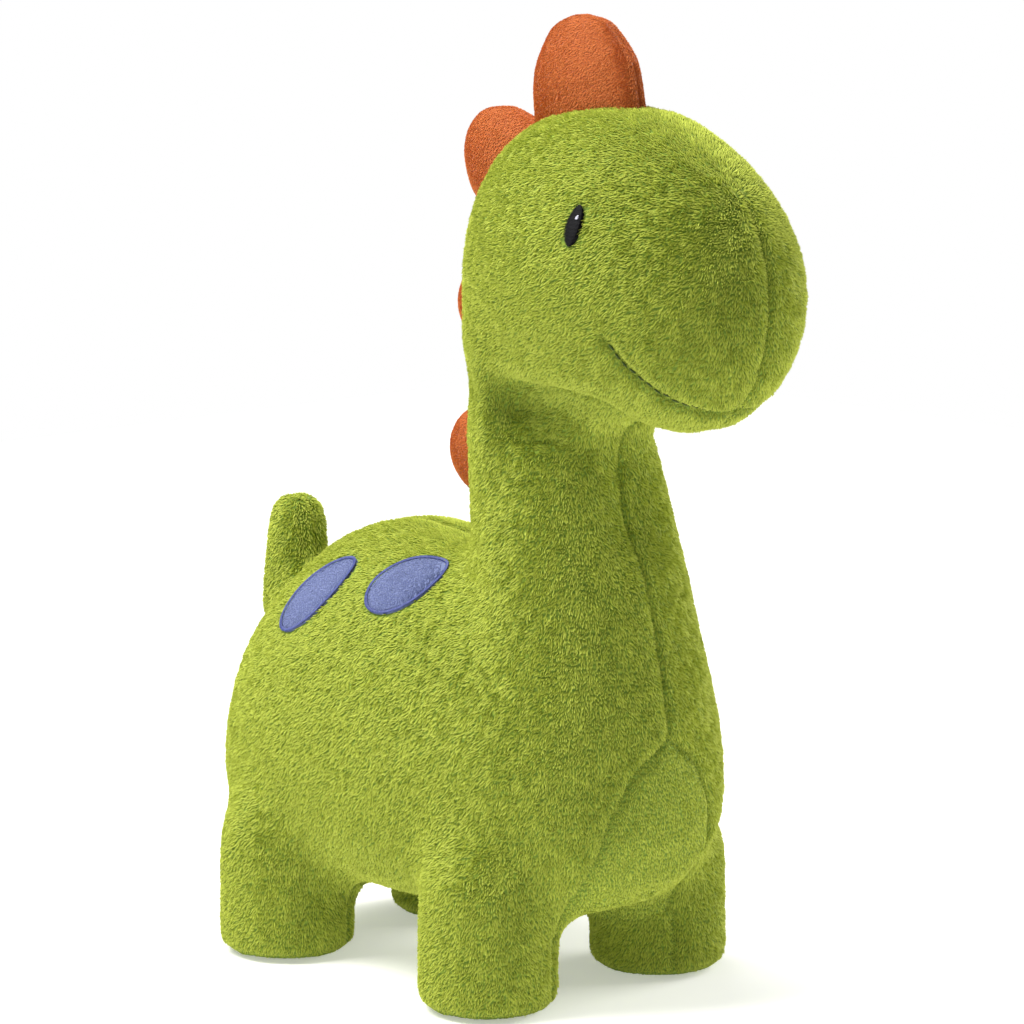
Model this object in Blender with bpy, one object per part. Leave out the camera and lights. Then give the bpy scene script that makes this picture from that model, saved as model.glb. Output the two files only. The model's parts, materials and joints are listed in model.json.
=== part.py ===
"""Stuffed long-necked dinosaur toy: sewn plush panels over fibre filling.

Metres, +Z up. The toy faces -Y and stands on four soles at z = 0. Its right flank is on the -X side.
The origin lies on the floor, midway between nose and rump. Head, neck, tail and legs each turn on a hinge
that stands for the flex of the stuffed body; their rounded ends sit in hollows that leave room to turn.
"""
import math

import bmesh
import bpy
from mathutils import Matrix, Vector
from mathutils.bvhtree import BVHTree

# ---------------------------------------------------------------- cloth and clearances
SKIN = 0.0025          # plush panel, backing and pressed pile
SEAM = 0.0004          # gap along a seam between two panels
FILL_GAP = 0.0004      # gap between a panel and the filling behind it
TRIM_GAP = 0.0005      # gap under a patch or stitch that lies on a panel
HINGE_GAP = 0.0010     # room around a rounded end in its hollow
SWING_SPARE = 0.5      # degrees of turn that a hollow has beyond the range

# ---------------------------------------------------------------- torso
TORSO_LENGTH = 0.200
TORSO_WIDTH = 0.118
BELLY_Z = 0.023        # underside of the belly
BACK_Z = 0.152         # highest point of the back
GUSSET_TOP_Z = 0.098   # point of the chest gusset
GUSSET_HALF = 0.027    # half-width of the gusset between the legs
GUSSET_SIDE = ((0.52, 0.14), (0.82, 0.33), (1.0, 0.59))    # shares: of the half-width, and down from the point

# ---------------------------------------------------------------- legs
LEG_RADIUS = 0.0250
FOOT_RADIUS = LEG_RADIUS + 0.0005    # widest, just above the sole
SOLE_RADIUS = LEG_RADIUS - 0.0015
LEG_TRACK = 0.080      # between right and left leg centres
LEG_BASE = 0.104       # between front and hind leg centres
HIP_Z = 0.047
SOLE_THICK = 0.0025
INNER_LEG_CUT = 0.45   # the inner leg panel starts this share of the radius past the leg's centre
LEG_SWING = 12.0       # degrees each way

# ---------------------------------------------------------------- neck
NECK_SET_BACK = 0.041  # neck centre behind the chest, at the base
NECK_BASE_RADIUS = 0.0410
NECK_BASE_Z = 0.101
NECK_TOP_RADIUS = 0.0325
NECK_TOP_Z = 0.192
NECK_LEAN = 0.014      # the neck's top lies this far behind its base
NECK_SWELL = 0.12      # the neck is fuller than a straight taper, by this share of the taper
NECK_BACKWARD = 9.0     # degrees
NECK_FORWARD = 14.0

# ---------------------------------------------------------------- head
HEAD_LENGTH = 0.128
HEAD_WIDTH = 0.092
HEAD_BOTTOM_Z = 0.192
HEAD_TOP_Z = 0.302
HEAD_BACK = 0.029      # back of the head behind the neck's top centre
HEAD_NOD = 12.0

# ---------------------------------------------------------------- tail
TAIL_RADIUS = 0.0122
TAIL_BASE_RADIUS = 0.0155
TAIL_FROM_RUMP = 0.0080    # tail centre in front of the rump's end
TAIL_BASE_Z = 0.108
TAIL_TIP_Z = 0.156
TAIL_BEND = 15.0

# ---------------------------------------------------------------- scales along the back seam
SCALE_THICK = 0.017
SCALE_CLOTH = 0.0015
SCALE_SINK = 0.15      # share of a scale's height that lies under the head's or neck's surface
SCALES = (             # name, height on the centre line, slope of the outward direction, length, height
    ("crown_scale", "head", 83.0, 0.051, 0.030),
    ("back_head_scale", "head", 33.0, 0.041, 0.024),
    ("nape_scale", "head", -18.0, 0.034, 0.0175),
    ("neck_scale", "neck", 0.0, 0.034, 0.0190),
)
NECK_SCALE_Z = 0.177
SCALE_CENTRE = (0.62, 0.50)    # the head scales point away from here: shares of the head's length and height

# ---------------------------------------------------------------- face and spots
EYE_LENGTH = 0.0150
EYE_WIDTH = 0.0076
EYE_THICK = 0.0012
EYE_LEAN = 0.12        # slope of the eye's long axis
GLINT_LENGTH = 0.0028
GLINT_WIDTH = 0.0022
GLINT_THICK = 0.0006
GLINT_AHEAD = 0.0008   # glint in front of the eye's centre
GLINT_ABOVE = 0.0028   # glint above the eye's centre
SPOT_THICK = 0.0010
SPOT_RIM = 0.0022
RIM_RISE = 1.4         # the stitched rim is this much thicker than the patch
THREAD_RADIUS = 0.0008
EYE_BEHIND = 0.047     # eye in front of the neck's top centre
EYE_SHARE = 0.66       # eye's height as a share of the head's
MOUTH_Z = 0.2035       # lowest point of the smile
MOUTH_HALF = 0.0370    # half-width of the smile
MOUTH_RISE = 0.0245    # the corners' height above the lowest point
MOUTH_CURVE = 2.2      # power of the smile's curve
MOUTH_STEPS = 24
SPOTS = (              # name, along the torso, degrees round its side, long axis lean, length, width, point
    ("front_spot", -0.005, 54.0, 38.0, 0.031, 0.0230, 0.10),
    ("rear_spot", 0.037, 47.0, 26.0, 0.037, 0.0220, 0.0),
)

# outline shares: (along, half-width, bottom, top), from the front pole to the rear pole
TORSO_PROFILE = (
    (0.000, 0.00, 0.40, 0.40),
    (0.045, 0.57, 0.14, 0.76),
    (0.170, 0.87, 0.03, 0.94),
    (0.400, 0.98, 0.00, 1.00),
    (0.600, 1.00, 0.00, 0.99),
    (0.800, 0.92, 0.01, 0.90),
    (0.945, 0.65, 0.08, 0.66),
    (1.000, 0.00, 0.32, 0.32),
)
HEAD_PROFILE = (
    (0.000, 0.00, 0.45, 0.45),
    (0.050, 0.50, 0.20, 0.67),
    (0.190, 0.82, 0.045, 0.86),
    (0.420, 1.00, 0.00, 1.00),
    (0.660, 0.97, 0.00, 1.00),
    (0.860, 0.78, 0.04, 0.92),
    (0.960, 0.48, 0.14, 0.74),
    (1.000, 0.00, 0.40, 0.40),
)
ROUND = 2.0            # exponent of a round section
TORSO_SQUARE = 2.5     # a fuller section than a round one
TORSO_SLOPE = 0.14     # the torso's sides lean in by this share towards the back


# ---------------------------------------------------------------- places worked out from the sizes
NECK_Y = NECK_SET_BACK
HEAD_PIVOT_Y = NECK_Y + NECK_LEAN
NOSE_Y = HEAD_PIVOT_Y + HEAD_BACK - HEAD_LENGTH
TAIL_Y = TORSO_LENGTH - TAIL_FROM_RUMP
REAR_Y = max(TORSO_LENGTH, TAIL_Y + TAIL_BASE_RADIUS)
SHIFT_Y = -(NOSE_Y + REAR_Y) / 2    # puts the origin midway between the nose and the rearmost point
TORSO_MID_Y = SHIFT_Y + TORSO_LENGTH / 2
NECK_PIVOT = Vector((0, SHIFT_Y + NECK_Y, NECK_BASE_Z))
HEAD_PIVOT = Vector((0, SHIFT_Y + HEAD_PIVOT_Y, NECK_TOP_Z))
TAIL_PIVOT = Vector((0, SHIFT_Y + TAIL_Y, TAIL_BASE_Z))
FAR = 0.5              # reach of a cutting box, past everything
PATCH_REACH = 0.03     # a patch is laid on the surface from this far out


# ---------------------------------------------------------------- helpers
def clear_scene():
    for item in list(bpy.data.objects):
        bpy.data.objects.remove(item, do_unlink=True)


def cloth(name, colour, roughness=0.95):
    mat = bpy.data.materials.new(name)
    mat.use_nodes = True
    shader = mat.node_tree.nodes["Principled BSDF"]
    shader.inputs["Base Color"].default_value = (*colour, 1.0)
    shader.inputs["Roughness"].default_value = roughness
    shader.inputs["Metallic"].default_value = 0.0
    return mat


def as_object(name, bm):
    """Turns a bmesh into an object with its faces pointing out."""
    bmesh.ops.recalc_face_normals(bm, faces=bm.faces)
    mesh = bpy.data.meshes.new(name)
    bm.to_mesh(mesh)
    bm.free()
    item = bpy.data.objects.new(name, mesh)
    bpy.context.scene.collection.objects.link(item)
    return item


def discard(*items):
    for item in items:
        bpy.data.objects.remove(item, do_unlink=True)


def duplicate(item, name):
    copy = bpy.data.objects.new(name, item.data.copy())
    bpy.context.scene.collection.objects.link(copy)
    return copy


def combine(item, cutter, operation):
    """Applies one exact Boolean to item."""
    step = item.modifiers.new("cut", "BOOLEAN")
    step.object = cutter
    step.operation = operation
    step.solver = "EXACT"
    bpy.context.view_layer.update()
    graph = bpy.context.evaluated_depsgraph_get()
    mesh = bpy.data.meshes.new_from_object(item.evaluated_get(graph))
    item.modifiers.clear()
    item.data = mesh


def grown(item, distance, name="grown"):
    """A copy of a closed surface with every point moved along its normal."""
    copy = duplicate(item, name)
    normals = [vertex.normal.copy() for vertex in copy.data.vertices]
    for vertex, normal in zip(copy.data.vertices, normals):
        vertex.co += normal * distance
    return copy


def shell(outer, thickness, name="shell"):
    """The outer surface with a second one inside it, facing in."""
    bm = bmesh.new()
    bm.from_mesh(outer.data)
    inner = grown(outer, -thickness, "inner")
    inside = bmesh.new()
    inside.from_mesh(inner.data)
    bmesh.ops.reverse_faces(inside, faces=inside.faces)
    scrap = bpy.data.meshes.new("scrap")
    inside.to_mesh(scrap)
    inside.free()
    bm.from_mesh(scrap)
    mesh = bpy.data.meshes.new(name)
    bm.to_mesh(mesh)
    bm.free()
    bpy.data.meshes.remove(scrap)
    discard(inner)
    item = bpy.data.objects.new(name, mesh)
    bpy.context.scene.collection.objects.link(item)
    return item


def block(low, high, name="block"):
    """An axis-aligned box between two corners."""
    bm = bmesh.new()
    centre = (Vector(low) + Vector(high)) / 2
    size = Vector(high) - Vector(low)
    bmesh.ops.create_cube(bm, size=1.0, matrix=Matrix.Translation(centre) @ Matrix.Diagonal((*size, 1.0)))
    return as_object(name, bm)


def through(rows, steps):
    """A smooth run of rows through the given ones; both ends close over a pole."""
    def mirrored(row):
        return (row[0], -row[1], row[2], -row[3])

    points = [mirrored(rows[1]), *rows, mirrored(rows[-2])]
    result = []
    for i in range(1, len(points) - 2):
        for k in range(steps):
            t = k / steps
            span = points[i - 1:i + 3]
            weights = (
                (-t + 2 * t**2 - t**3) / 2,
                (2 - 5 * t**2 + 3 * t**3) / 2,
                (t + 4 * t**2 - 3 * t**3) / 2,
                (-t**2 + t**3) / 2,
            )
            result.append(tuple(sum(w * row[c] for w, row in zip(weights, span)) for c in range(4)))
    result.append(points[-2])
    return result


def skin_rings(bm, rings):
    """Joins rings of points; a ring of one point is a pole."""
    rows = [[bm.verts.new(point) for point in ring] for ring in rings]
    for low, high in zip(rows, rows[1:]):
        count = max(len(low), len(high))
        for k in range(count):
            j = (k + 1) % count
            if len(low) == 1:
                bm.faces.new((low[0], high[k], high[j]))
            elif len(high) == 1:
                bm.faces.new((low[k], high[0], low[j]))
            else:
                bm.faces.new((low[k], high[k], high[j], low[j]))
    for ring in (rows[0], rows[-1]):
        if len(ring) > 1:
            bm.faces.new(ring)


def lying_body(name, profile, front, length, width, bottom, top, around, power, slope):
    """A body lofted along Y from a profile of shares; its sides lean in by slope towards the top."""
    rows = []
    for along, half, low, high in profile:
        z_low = bottom + low * (top - bottom)
        z_high = bottom + high * (top - bottom)
        rows.append((front + along * length, half * width / 2, (z_low + z_high) / 2, (z_high - z_low) / 2))
    rings = []
    for y, half, mid, rise in through(rows, 2):
        if abs(half) < 1e-6:
            rings.append([(0.0, y, mid)])
            continue
        ring = []
        for k in range(around):
            angle = 2 * math.pi * k / around
            across = math.copysign(abs(math.cos(angle)) ** (2 / power), math.cos(angle))
            up = math.copysign(abs(math.sin(angle)) ** (2 / power), math.sin(angle))
            ring.append((half * across * (1 - slope * up), y, mid + rise * up))
        rings.append(ring)
    bm = bmesh.new()
    skin_rings(bm, rings)
    return as_object(name, bm)


def dome(centre, radius, start, end, count):
    """Rows (z, y, radius) over part of a ball, from one latitude to another, in degrees."""
    rows = []
    for k in range(count):
        angle = math.radians(start + (end - start) * k / (count - 1))
        rows.append((centre.z + radius * math.sin(angle), centre.y, max(radius * math.cos(angle), 0.0)))
    return rows


def standing_body(name, x, rows, around):
    """A body of round level rings, given as (z, y, radius)."""
    rings = []
    for z, y, radius in rows:
        if radius < 1e-6:
            rings.append([(x, y, z)])
            continue
        ring = []
        for k in range(around):
            angle = 2 * math.pi * k / around
            ring.append((x + radius * math.cos(angle), y + radius * math.sin(angle), z))
        rings.append(ring)
    bm = bmesh.new()
    skin_rings(bm, rings)
    return as_object(name, bm)


def swept_hull(item, pivot, back, forth, name="sweep"):
    """The convex hull of a rounded body, grown by the hinge gap and turned both ways about X, in degrees."""
    wide = grown(item, HINGE_GAP)
    bm = bmesh.new()
    for angle in (-back - SWING_SPARE, 0.0, forth + SWING_SPARE):
        turn = Matrix.Translation(pivot) @ Matrix.Rotation(math.radians(angle), 4, "X")
        turn = turn @ Matrix.Translation(-pivot)
        for vertex in wide.data.vertices:
            bm.verts.new(turn @ vertex.co)
    discard(wide)
    result = bmesh.ops.convex_hull(bm, input=bm.verts, use_existing_faces=False)
    loose = {element for element in result["geom_interior"] if isinstance(element, bmesh.types.BMVert)}
    bmesh.ops.delete(bm, geom=list(loose), context="VERTS")
    bmesh.ops.delete(bm, geom=[vertex for vertex in bm.verts if not vertex.link_faces], context="VERTS")
    bmesh.ops.dissolve_limit(bm, angle_limit=math.radians(4), verts=bm.verts, edges=bm.edges)
    bmesh.ops.triangulate(bm, faces=bm.faces)
    return as_object(name, bm)


def tree_of(item):
    bm = bmesh.new()
    bm.from_mesh(item.data)
    tree = BVHTree.FromBMesh(bm)
    bm.free()
    return tree


def on_surface(tree, start, direction):
    """Where a ray first meets a surface, and the normal there."""
    place, normal, _, _ = tree.ray_cast(Vector(start), Vector(direction).normalized())
    return place, normal


def patch(name, tree, centre, normal, up, length, width, lift, thick, hole=0.0, pointed=0.0, around=16):
    """A patch that follows a surface: an oval with its long axis near up, with an optional hole."""
    normal = normal.normalized()
    side = up.cross(normal).normalized()
    up = normal.cross(side).normalized()
    shares = (hole, 1.0) if hole else (0.0, 0.55, 1.0)

    def lay(share, angle, height):
        along = math.sin(angle) * (1.0 + pointed * max(math.sin(angle), 0.0) ** 3)
        flat = centre + side * (math.cos(angle) * share * width / 2) + up * (along * share * length / 2)
        place, facing = on_surface(tree, flat + normal * PATCH_REACH, -normal)
        return place + facing.lerp(normal, 0.5).normalized() * height

    bm = bmesh.new()
    layers = []
    for height in (lift, lift + thick):
        rings = []
        for share in shares:
            if share == 0.0:
                rings.append([bm.verts.new(lay(0.0, 0.0, height))])
            else:
                rings.append([bm.verts.new(lay(share, 2 * math.pi * k / around, height)) for k in range(around)])
        layers.append(rings)
    for rings in layers:
        for small, big in zip(rings, rings[1:]):
            for k in range(around):
                j = (k + 1) % around
                if len(small) == 1:
                    bm.faces.new((small[0], big[k], big[j]))
                else:
                    bm.faces.new((small[k], big[k], big[j], small[j]))
    edges = (-1, 0) if hole else (-1,)
    for edge in edges:
        low, high = layers[0][edge], layers[1][edge]
        for k in range(around):
            j = (k + 1) % around
            bm.faces.new((low[k], high[k], high[j], low[j]))
    return as_object(name, bm)


def finish(item, name, mat, body):
    """Names a finished piece, colours it and hangs it on its body's empty."""
    item.name = name
    item.data.name = name
    item.data.materials.clear()
    item.data.materials.append(mat)
    item.data.shade_smooth()
    item.data.set_sharp_from_angle(angle=math.radians(40))
    item.parent = body
    item.matrix_parent_inverse = body.matrix_world.inverted()


def body_empty(name, place):
    empty = bpy.data.objects.new(name, None)
    empty.location = place
    empty.empty_display_size = 0.02
    bpy.context.scene.collection.objects.link(empty)
    bpy.context.view_layer.update()
    return empty


def side_block(side, name="half"):
    """Everything on one side of the centre seam."""
    near = side * SEAM / 2
    low = (min(near, side * FAR), -FAR, -FAR)
    high = (max(near, side * FAR), FAR, FAR)
    return block(low, high, name)


SIDES = (("right", -1), ("left", 1))


def two_sides(stem, item, mat, body, cloth_thick, extra=()):
    """Cuts a closed outer surface into a right and a left panel; extra is a list of (cutter, operation)."""
    for word, side in SIDES:
        panel = shell(item, cloth_thick)
        half = side_block(side)
        combine(panel, half, "INTERSECT")
        discard(half)
        for cutter, operation in extra:
            combine(panel, cutter, operation)
        finish(panel, stem.format(word), mat, body)


# ---------------------------------------------------------------- the bodies' outer surfaces
def make_torso_surface():
    return lying_body("torso_surface", TORSO_PROFILE, SHIFT_Y, TORSO_LENGTH, TORSO_WIDTH, BELLY_Z, BACK_Z,
                      22, TORSO_SQUARE, TORSO_SLOPE)


def make_head_surface():
    front = SHIFT_Y + NOSE_Y
    return lying_body("head_surface", HEAD_PROFILE, front, HEAD_LENGTH, HEAD_WIDTH, HEAD_BOTTOM_Z, HEAD_TOP_Z,
                      20, ROUND, 0.0)


def make_neck_surface():
    """The neck with a rounded lower end in the torso and a rounded upper end in the head."""
    lower = dome(NECK_PIVOT, NECK_BASE_RADIUS, -90, 0, 5)
    upper = dome(HEAD_PIVOT, NECK_TOP_RADIUS, 0, 90, 4)
    middle = []
    for share in (0.25, 0.5, 0.75):
        taper = share + NECK_SWELL * math.sin(math.pi * share)
        centre = NECK_PIVOT.lerp(HEAD_PIVOT, share)
        middle.append((centre.z, centre.y, NECK_BASE_RADIUS + (NECK_TOP_RADIUS - NECK_BASE_RADIUS) * taper))
    return standing_body("neck_surface", 0.0, lower + middle + upper, 16)


def make_leg_surface(x, y):
    hip = Vector((x, y, HIP_Z))
    sole_z = SOLE_THICK
    rows = [
        (0.0, y, SOLE_RADIUS),
        (sole_z * 2, y, FOOT_RADIUS),
        (HIP_Z * 0.5, y, (FOOT_RADIUS + LEG_RADIUS) / 2),
    ]
    return standing_body("leg_surface", x, rows + dome(hip, LEG_RADIUS, 0, 90, 4), 14)


def make_tail_surface():
    tip = Vector((0, TAIL_PIVOT.y, TAIL_TIP_Z - TAIL_RADIUS))
    rows = dome(TAIL_PIVOT, TAIL_BASE_RADIUS, -90, 0, 4) + dome(tip, TAIL_RADIUS, 0, 90, 4)
    return standing_body("tail_surface", 0.0, rows, 12)


def gusset_prism(spread, name="gusset"):
    """The chest and belly gusset's outline seen from the front, run along the whole body."""
    fall = GUSSET_TOP_Z - BELLY_Z
    side = [(out * GUSSET_HALF, GUSSET_TOP_Z - down * fall) for out, down in GUSSET_SIDE]
    outline = [(0.0, GUSSET_TOP_Z), *side, (GUSSET_HALF, -FAR)]
    right = [(-x - spread if x else 0.0, z + spread) for x, z in outline]
    left = [(x + spread, z + spread) for x, z in outline[:0:-1]]
    points = right + left
    bm = bmesh.new()
    face = bm.faces.new([bm.verts.new((x, -FAR, z)) for x, z in points])
    pushed = bmesh.ops.extrude_face_region(bm, geom=[face])
    moved = [element for element in pushed["geom"] if isinstance(element, bmesh.types.BMVert)]
    bmesh.ops.translate(bm, verts=moved, vec=(0, 2 * FAR, 0))
    return as_object(name, bm)


# ---------------------------------------------------------------- assemblies
def make_torso(body, plush, fibre, surface, sweeps):
    wide = gusset_prism(SEAM / 2)
    narrow = gusset_prism(-SEAM / 2)
    cuts = [(sweep, "DIFFERENCE") for sweep in sweeps]
    two_sides("body_side_{}", surface, plush, body, SKIN, [(wide, "DIFFERENCE"), *cuts])
    belly = shell(surface, SKIN)
    combine(belly, narrow, "INTERSECT")
    for sweep in sweeps:
        combine(belly, sweep, "DIFFERENCE")
    finish(belly, "belly_gusset", plush, body)
    filling = grown(surface, -(SKIN + FILL_GAP))
    for sweep in sweeps:
        combine(filling, sweep, "DIFFERENCE")
    finish(filling, "body_filling", fibre, body)
    discard(wide, narrow)


def make_neck(body, plush, fibre, surface):
    slab = block((-FAR, -FAR, NECK_BASE_Z), (FAR, FAR, NECK_TOP_Z))
    two_sides("neck_side_{}", surface, plush, body, SKIN, [(slab, "INTERSECT")])
    finish(grown(surface, -(SKIN + FILL_GAP)), "neck_filling", fibre, body)
    discard(slab)


def make_head(body, plush, fibre, surface, sweep):
    two_sides("head_side_{}", surface, plush, body, SKIN, [(sweep, "DIFFERENCE")])
    filling = grown(surface, -(SKIN + FILL_GAP))
    combine(filling, sweep, "DIFFERENCE")
    finish(filling, "head_filling", fibre, body)


def make_tail(body, plush, fibre, surface):
    slab = block((-FAR, -FAR, TAIL_BASE_Z), (FAR, FAR, FAR))
    two_sides("tail_side_{}", surface, plush, body, SKIN, [(slab, "INTERSECT")])
    finish(grown(surface, -(SKIN + FILL_GAP)), "tail_filling", fibre, body)
    discard(slab)


def make_leg(body, plush, fibre, surface, stem, x, y):
    """Outer and inner panel, sole and filling of one leg."""
    side = math.copysign(1, x)
    seam_x = x - side * INNER_LEG_CUT * LEG_RADIUS
    low, high = SOLE_THICK + SEAM, HIP_Z
    edge = side * SEAM / 2
    spans = (
        ("outer", sorted((seam_x + edge, side * FAR))),
        ("inner", sorted((seam_x - edge, -side * FAR))),
    )
    for word, (start, end) in spans:
        panel = shell(surface, SKIN)
        half = block((start, -FAR, low), (end, FAR, high))
        combine(panel, half, "INTERSECT")
        discard(half)
        finish(panel, f"{stem}_{word}_panel", plush, body)
    sole = duplicate(surface, "sole")
    slab = block((-FAR, -FAR, -FAR), (FAR, FAR, SOLE_THICK))
    combine(sole, slab, "INTERSECT")
    finish(sole, f"{stem}_sole", plush, body)
    discard(slab)
    filling = grown(surface, -(SKIN + FILL_GAP))
    trim = block((-FAR, -FAR, -FAR), (FAR, FAR, SOLE_THICK + FILL_GAP))
    combine(filling, trim, "DIFFERENCE")
    finish(filling, f"{stem}_filling", fibre, body)
    discard(trim)


def make_scale(name, body, velour, fibre, host, centre, lean, length, height):
    """One stuffed scale: a lens sewn into the centre seam, standing on its host's surface."""
    outward = Vector((0, math.cos(math.radians(lean)), math.sin(math.radians(lean))))
    along = Vector((0, -outward.z, outward.y))
    place, _ = on_surface(tree_of(host), centre + outward * FAR, -outward)
    base = place - outward * height * SCALE_SINK
    bm = bmesh.new()
    bmesh.ops.create_uvsphere(bm, u_segments=12, v_segments=6, radius=1.0)
    frame = Matrix((
        (SCALE_THICK / 2, 0, 0, base.x),
        (0, along.y * length / 2, outward.y * height * (1 + SCALE_SINK), base.y),
        (0, along.z * length / 2, outward.z * height * (1 + SCALE_SINK), base.z),
        (0, 0, 0, 1),
    ))
    bmesh.ops.transform(bm, matrix=frame, verts=bm.verts)
    surface = as_object("scale_surface", bm)
    floor = grown(host, FILL_GAP)
    inner_floor = grown(host, FILL_GAP * 2)
    two_sides(name + "_{}_cloth", surface, velour, body, SCALE_CLOTH, [(floor, "DIFFERENCE")])
    filling = grown(surface, -(SCALE_CLOTH + FILL_GAP))
    combine(filling, inner_floor, "DIFFERENCE")
    finish(filling, f"{name}_filling", fibre, body)
    discard(surface, floor, inner_floor)


def make_spots(body, patch_cloth, thread, surface):
    """Two oval patches on each flank, each with a satin-stitched rim."""
    tree = tree_of(surface)
    for word, side in SIDES:
        for name, along, round_side, lean, length, width, point in SPOTS:
            target = Vector((0, TORSO_MID_Y + along, (BELLY_Z + BACK_Z) / 2))
            climb = math.radians(round_side)
            outside = target + Vector((side * math.cos(climb), 0, math.sin(climb))) * FAR
            centre, normal = on_surface(tree, outside, target - outside)
            up = Vector((0, -math.sin(math.radians(lean)), math.cos(math.radians(lean))))
            inner = 1.0 - 2 * SPOT_RIM / width
            cloth_patch = patch(name, tree, centre, normal, up, (length * inner - 2 * SEAM),
                                width * inner - 2 * SEAM, TRIM_GAP, SPOT_THICK, 0.0, point)
            finish(cloth_patch, f"{name}_{word}", patch_cloth, body)
            rim = patch(name, tree, centre, normal, up, length, width, TRIM_GAP, SPOT_THICK * RIM_RISE, inner,
                        point)
            finish(rim, f"{name}_stitching_{word}", thread, body)


def make_face(body, black, white, brown, surface):
    """Embroidered eyes with a small white glint, and the stitched mouth line."""
    tree = tree_of(surface)
    eye_y = HEAD_PIVOT.y - EYE_BEHIND
    eye_z = HEAD_BOTTOM_Z + EYE_SHARE * (HEAD_TOP_Z - HEAD_BOTTOM_Z)
    for word, side in SIDES:
        start = (side * FAR, eye_y, eye_z)
        centre, normal = on_surface(tree, start, (-side, 0, 0))
        up = Vector((0, EYE_LEAN, 1))
        eye = patch("eye", tree, centre, normal, up, EYE_LENGTH, EYE_WIDTH, TRIM_GAP, EYE_THICK, around=16)
        finish(eye, f"eye_{word}", black, body)
        glint_at = centre + Vector((0, -GLINT_AHEAD, GLINT_ABOVE))
        glint = patch("glint", tree, glint_at, normal, up, GLINT_LENGTH, GLINT_WIDTH, TRIM_GAP * 2 + EYE_THICK,
                      GLINT_THICK, around=10)
        finish(glint, f"eye_glint_{word}", white, body)
    finish(mouth_line(tree), "mouth_stitching", brown, body)


def mouth_line(tree):
    """A thread along the smile: it hugs the muzzle from one cheek to the other, lowest at the front."""
    points = []
    for k in range(MOUTH_STEPS + 1):
        share = math.sin(math.pi * (k / MOUTH_STEPS - 0.5))
        front = (MOUTH_HALF * share, -FAR, MOUTH_Z + MOUTH_RISE * abs(share) ** MOUTH_CURVE)
        place, normal = on_surface(tree, front, (0, 1, 0))
        points.append(place + normal * (THREAD_RADIUS + TRIM_GAP))
    curve = bpy.data.curves.new("mouth", "CURVE")
    curve.dimensions = "3D"
    curve.bevel_depth = THREAD_RADIUS
    curve.bevel_resolution = 1
    curve.use_fill_caps = True
    spline = curve.splines.new("POLY")
    spline.points.add(len(points) - 1)
    for slot, point in zip(spline.points, points):
        slot.co = (*point, 1.0)
    drawn = bpy.data.objects.new("mouth", curve)
    bpy.context.scene.collection.objects.link(drawn)
    bpy.context.view_layer.update()
    mesh = bpy.data.meshes.new_from_object(drawn.evaluated_get(bpy.context.evaluated_depsgraph_get()))
    bpy.data.objects.remove(drawn, do_unlink=True)
    bm = bmesh.new()
    bm.from_mesh(mesh)
    bmesh.ops.remove_doubles(bm, verts=bm.verts, dist=0.00001)
    return as_object("mouth", bm)


def main():
    clear_scene()
    plush = cloth("green_plush", (0.33, 0.42, 0.055))
    velour = cloth("orange_velour", (0.60, 0.16, 0.035))
    patch_cloth = cloth("blue_velour", (0.17, 0.22, 0.52))
    thread = cloth("indigo_thread", (0.06, 0.07, 0.30), 0.5)
    black = cloth("black_thread", (0.008, 0.008, 0.010), 0.45)
    white = cloth("white_thread", (0.80, 0.80, 0.78), 0.5)
    brown = cloth("olive_thread", (0.12, 0.17, 0.03), 0.7)
    fibre = cloth("white_fibre", (0.85, 0.85, 0.83))

    torso_body = body_empty("torso", (0, 0, 0))
    neck_body = body_empty("neck", NECK_PIVOT)
    head_body = body_empty("head", HEAD_PIVOT)
    tail_body = body_empty("tail", TAIL_PIVOT)

    torso = make_torso_surface()
    head = make_head_surface()
    neck = make_neck_surface()
    tail = make_tail_surface()

    sweeps = [
        swept_hull(neck, NECK_PIVOT, NECK_BACKWARD, NECK_FORWARD),
        swept_hull(tail, TAIL_PIVOT, TAIL_BEND, TAIL_BEND),
    ]
    for word, side in SIDES:
        for place, sign in (("front", -1), ("hind", 1)):
            x, y = side * LEG_TRACK / 2, TORSO_MID_Y + sign * LEG_BASE / 2
            hip = Vector((x, y, HIP_Z))
            stem = f"{place}_leg_{word}"
            surface = make_leg_surface(x, y)
            sweeps.append(swept_hull(surface, hip, LEG_SWING, LEG_SWING))
            make_leg(body_empty(stem, hip), plush, fibre, surface, stem, x, y)
            discard(surface)
    make_torso(torso_body, plush, fibre, torso, sweeps)
    make_neck(neck_body, plush, fibre, neck)
    nod = swept_hull(neck, HEAD_PIVOT, HEAD_NOD, HEAD_NOD)
    make_head(head_body, plush, fibre, head, nod)
    make_tail(tail_body, plush, fibre, tail)
    share_back, share_up = SCALE_CENTRE
    head_mid = Vector((0, SHIFT_Y + NOSE_Y + share_back * HEAD_LENGTH,
                       HEAD_BOTTOM_Z + share_up * (HEAD_TOP_Z - HEAD_BOTTOM_Z)))
    neck_mid = Vector((0, NECK_PIVOT.y, NECK_SCALE_Z))
    for name, host, lean, length, height in SCALES:
        if host == "head":
            make_scale(name, head_body, velour, fibre, head, head_mid, lean, length, height)
        else:
            make_scale(name, neck_body, velour, fibre, neck, neck_mid, lean, length, height)
    make_spots(torso_body, patch_cloth, thread, torso)
    make_face(head_body, black, white, brown, head)
    discard(nod, torso, head, neck, tail, *sweeps)


main()
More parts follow.
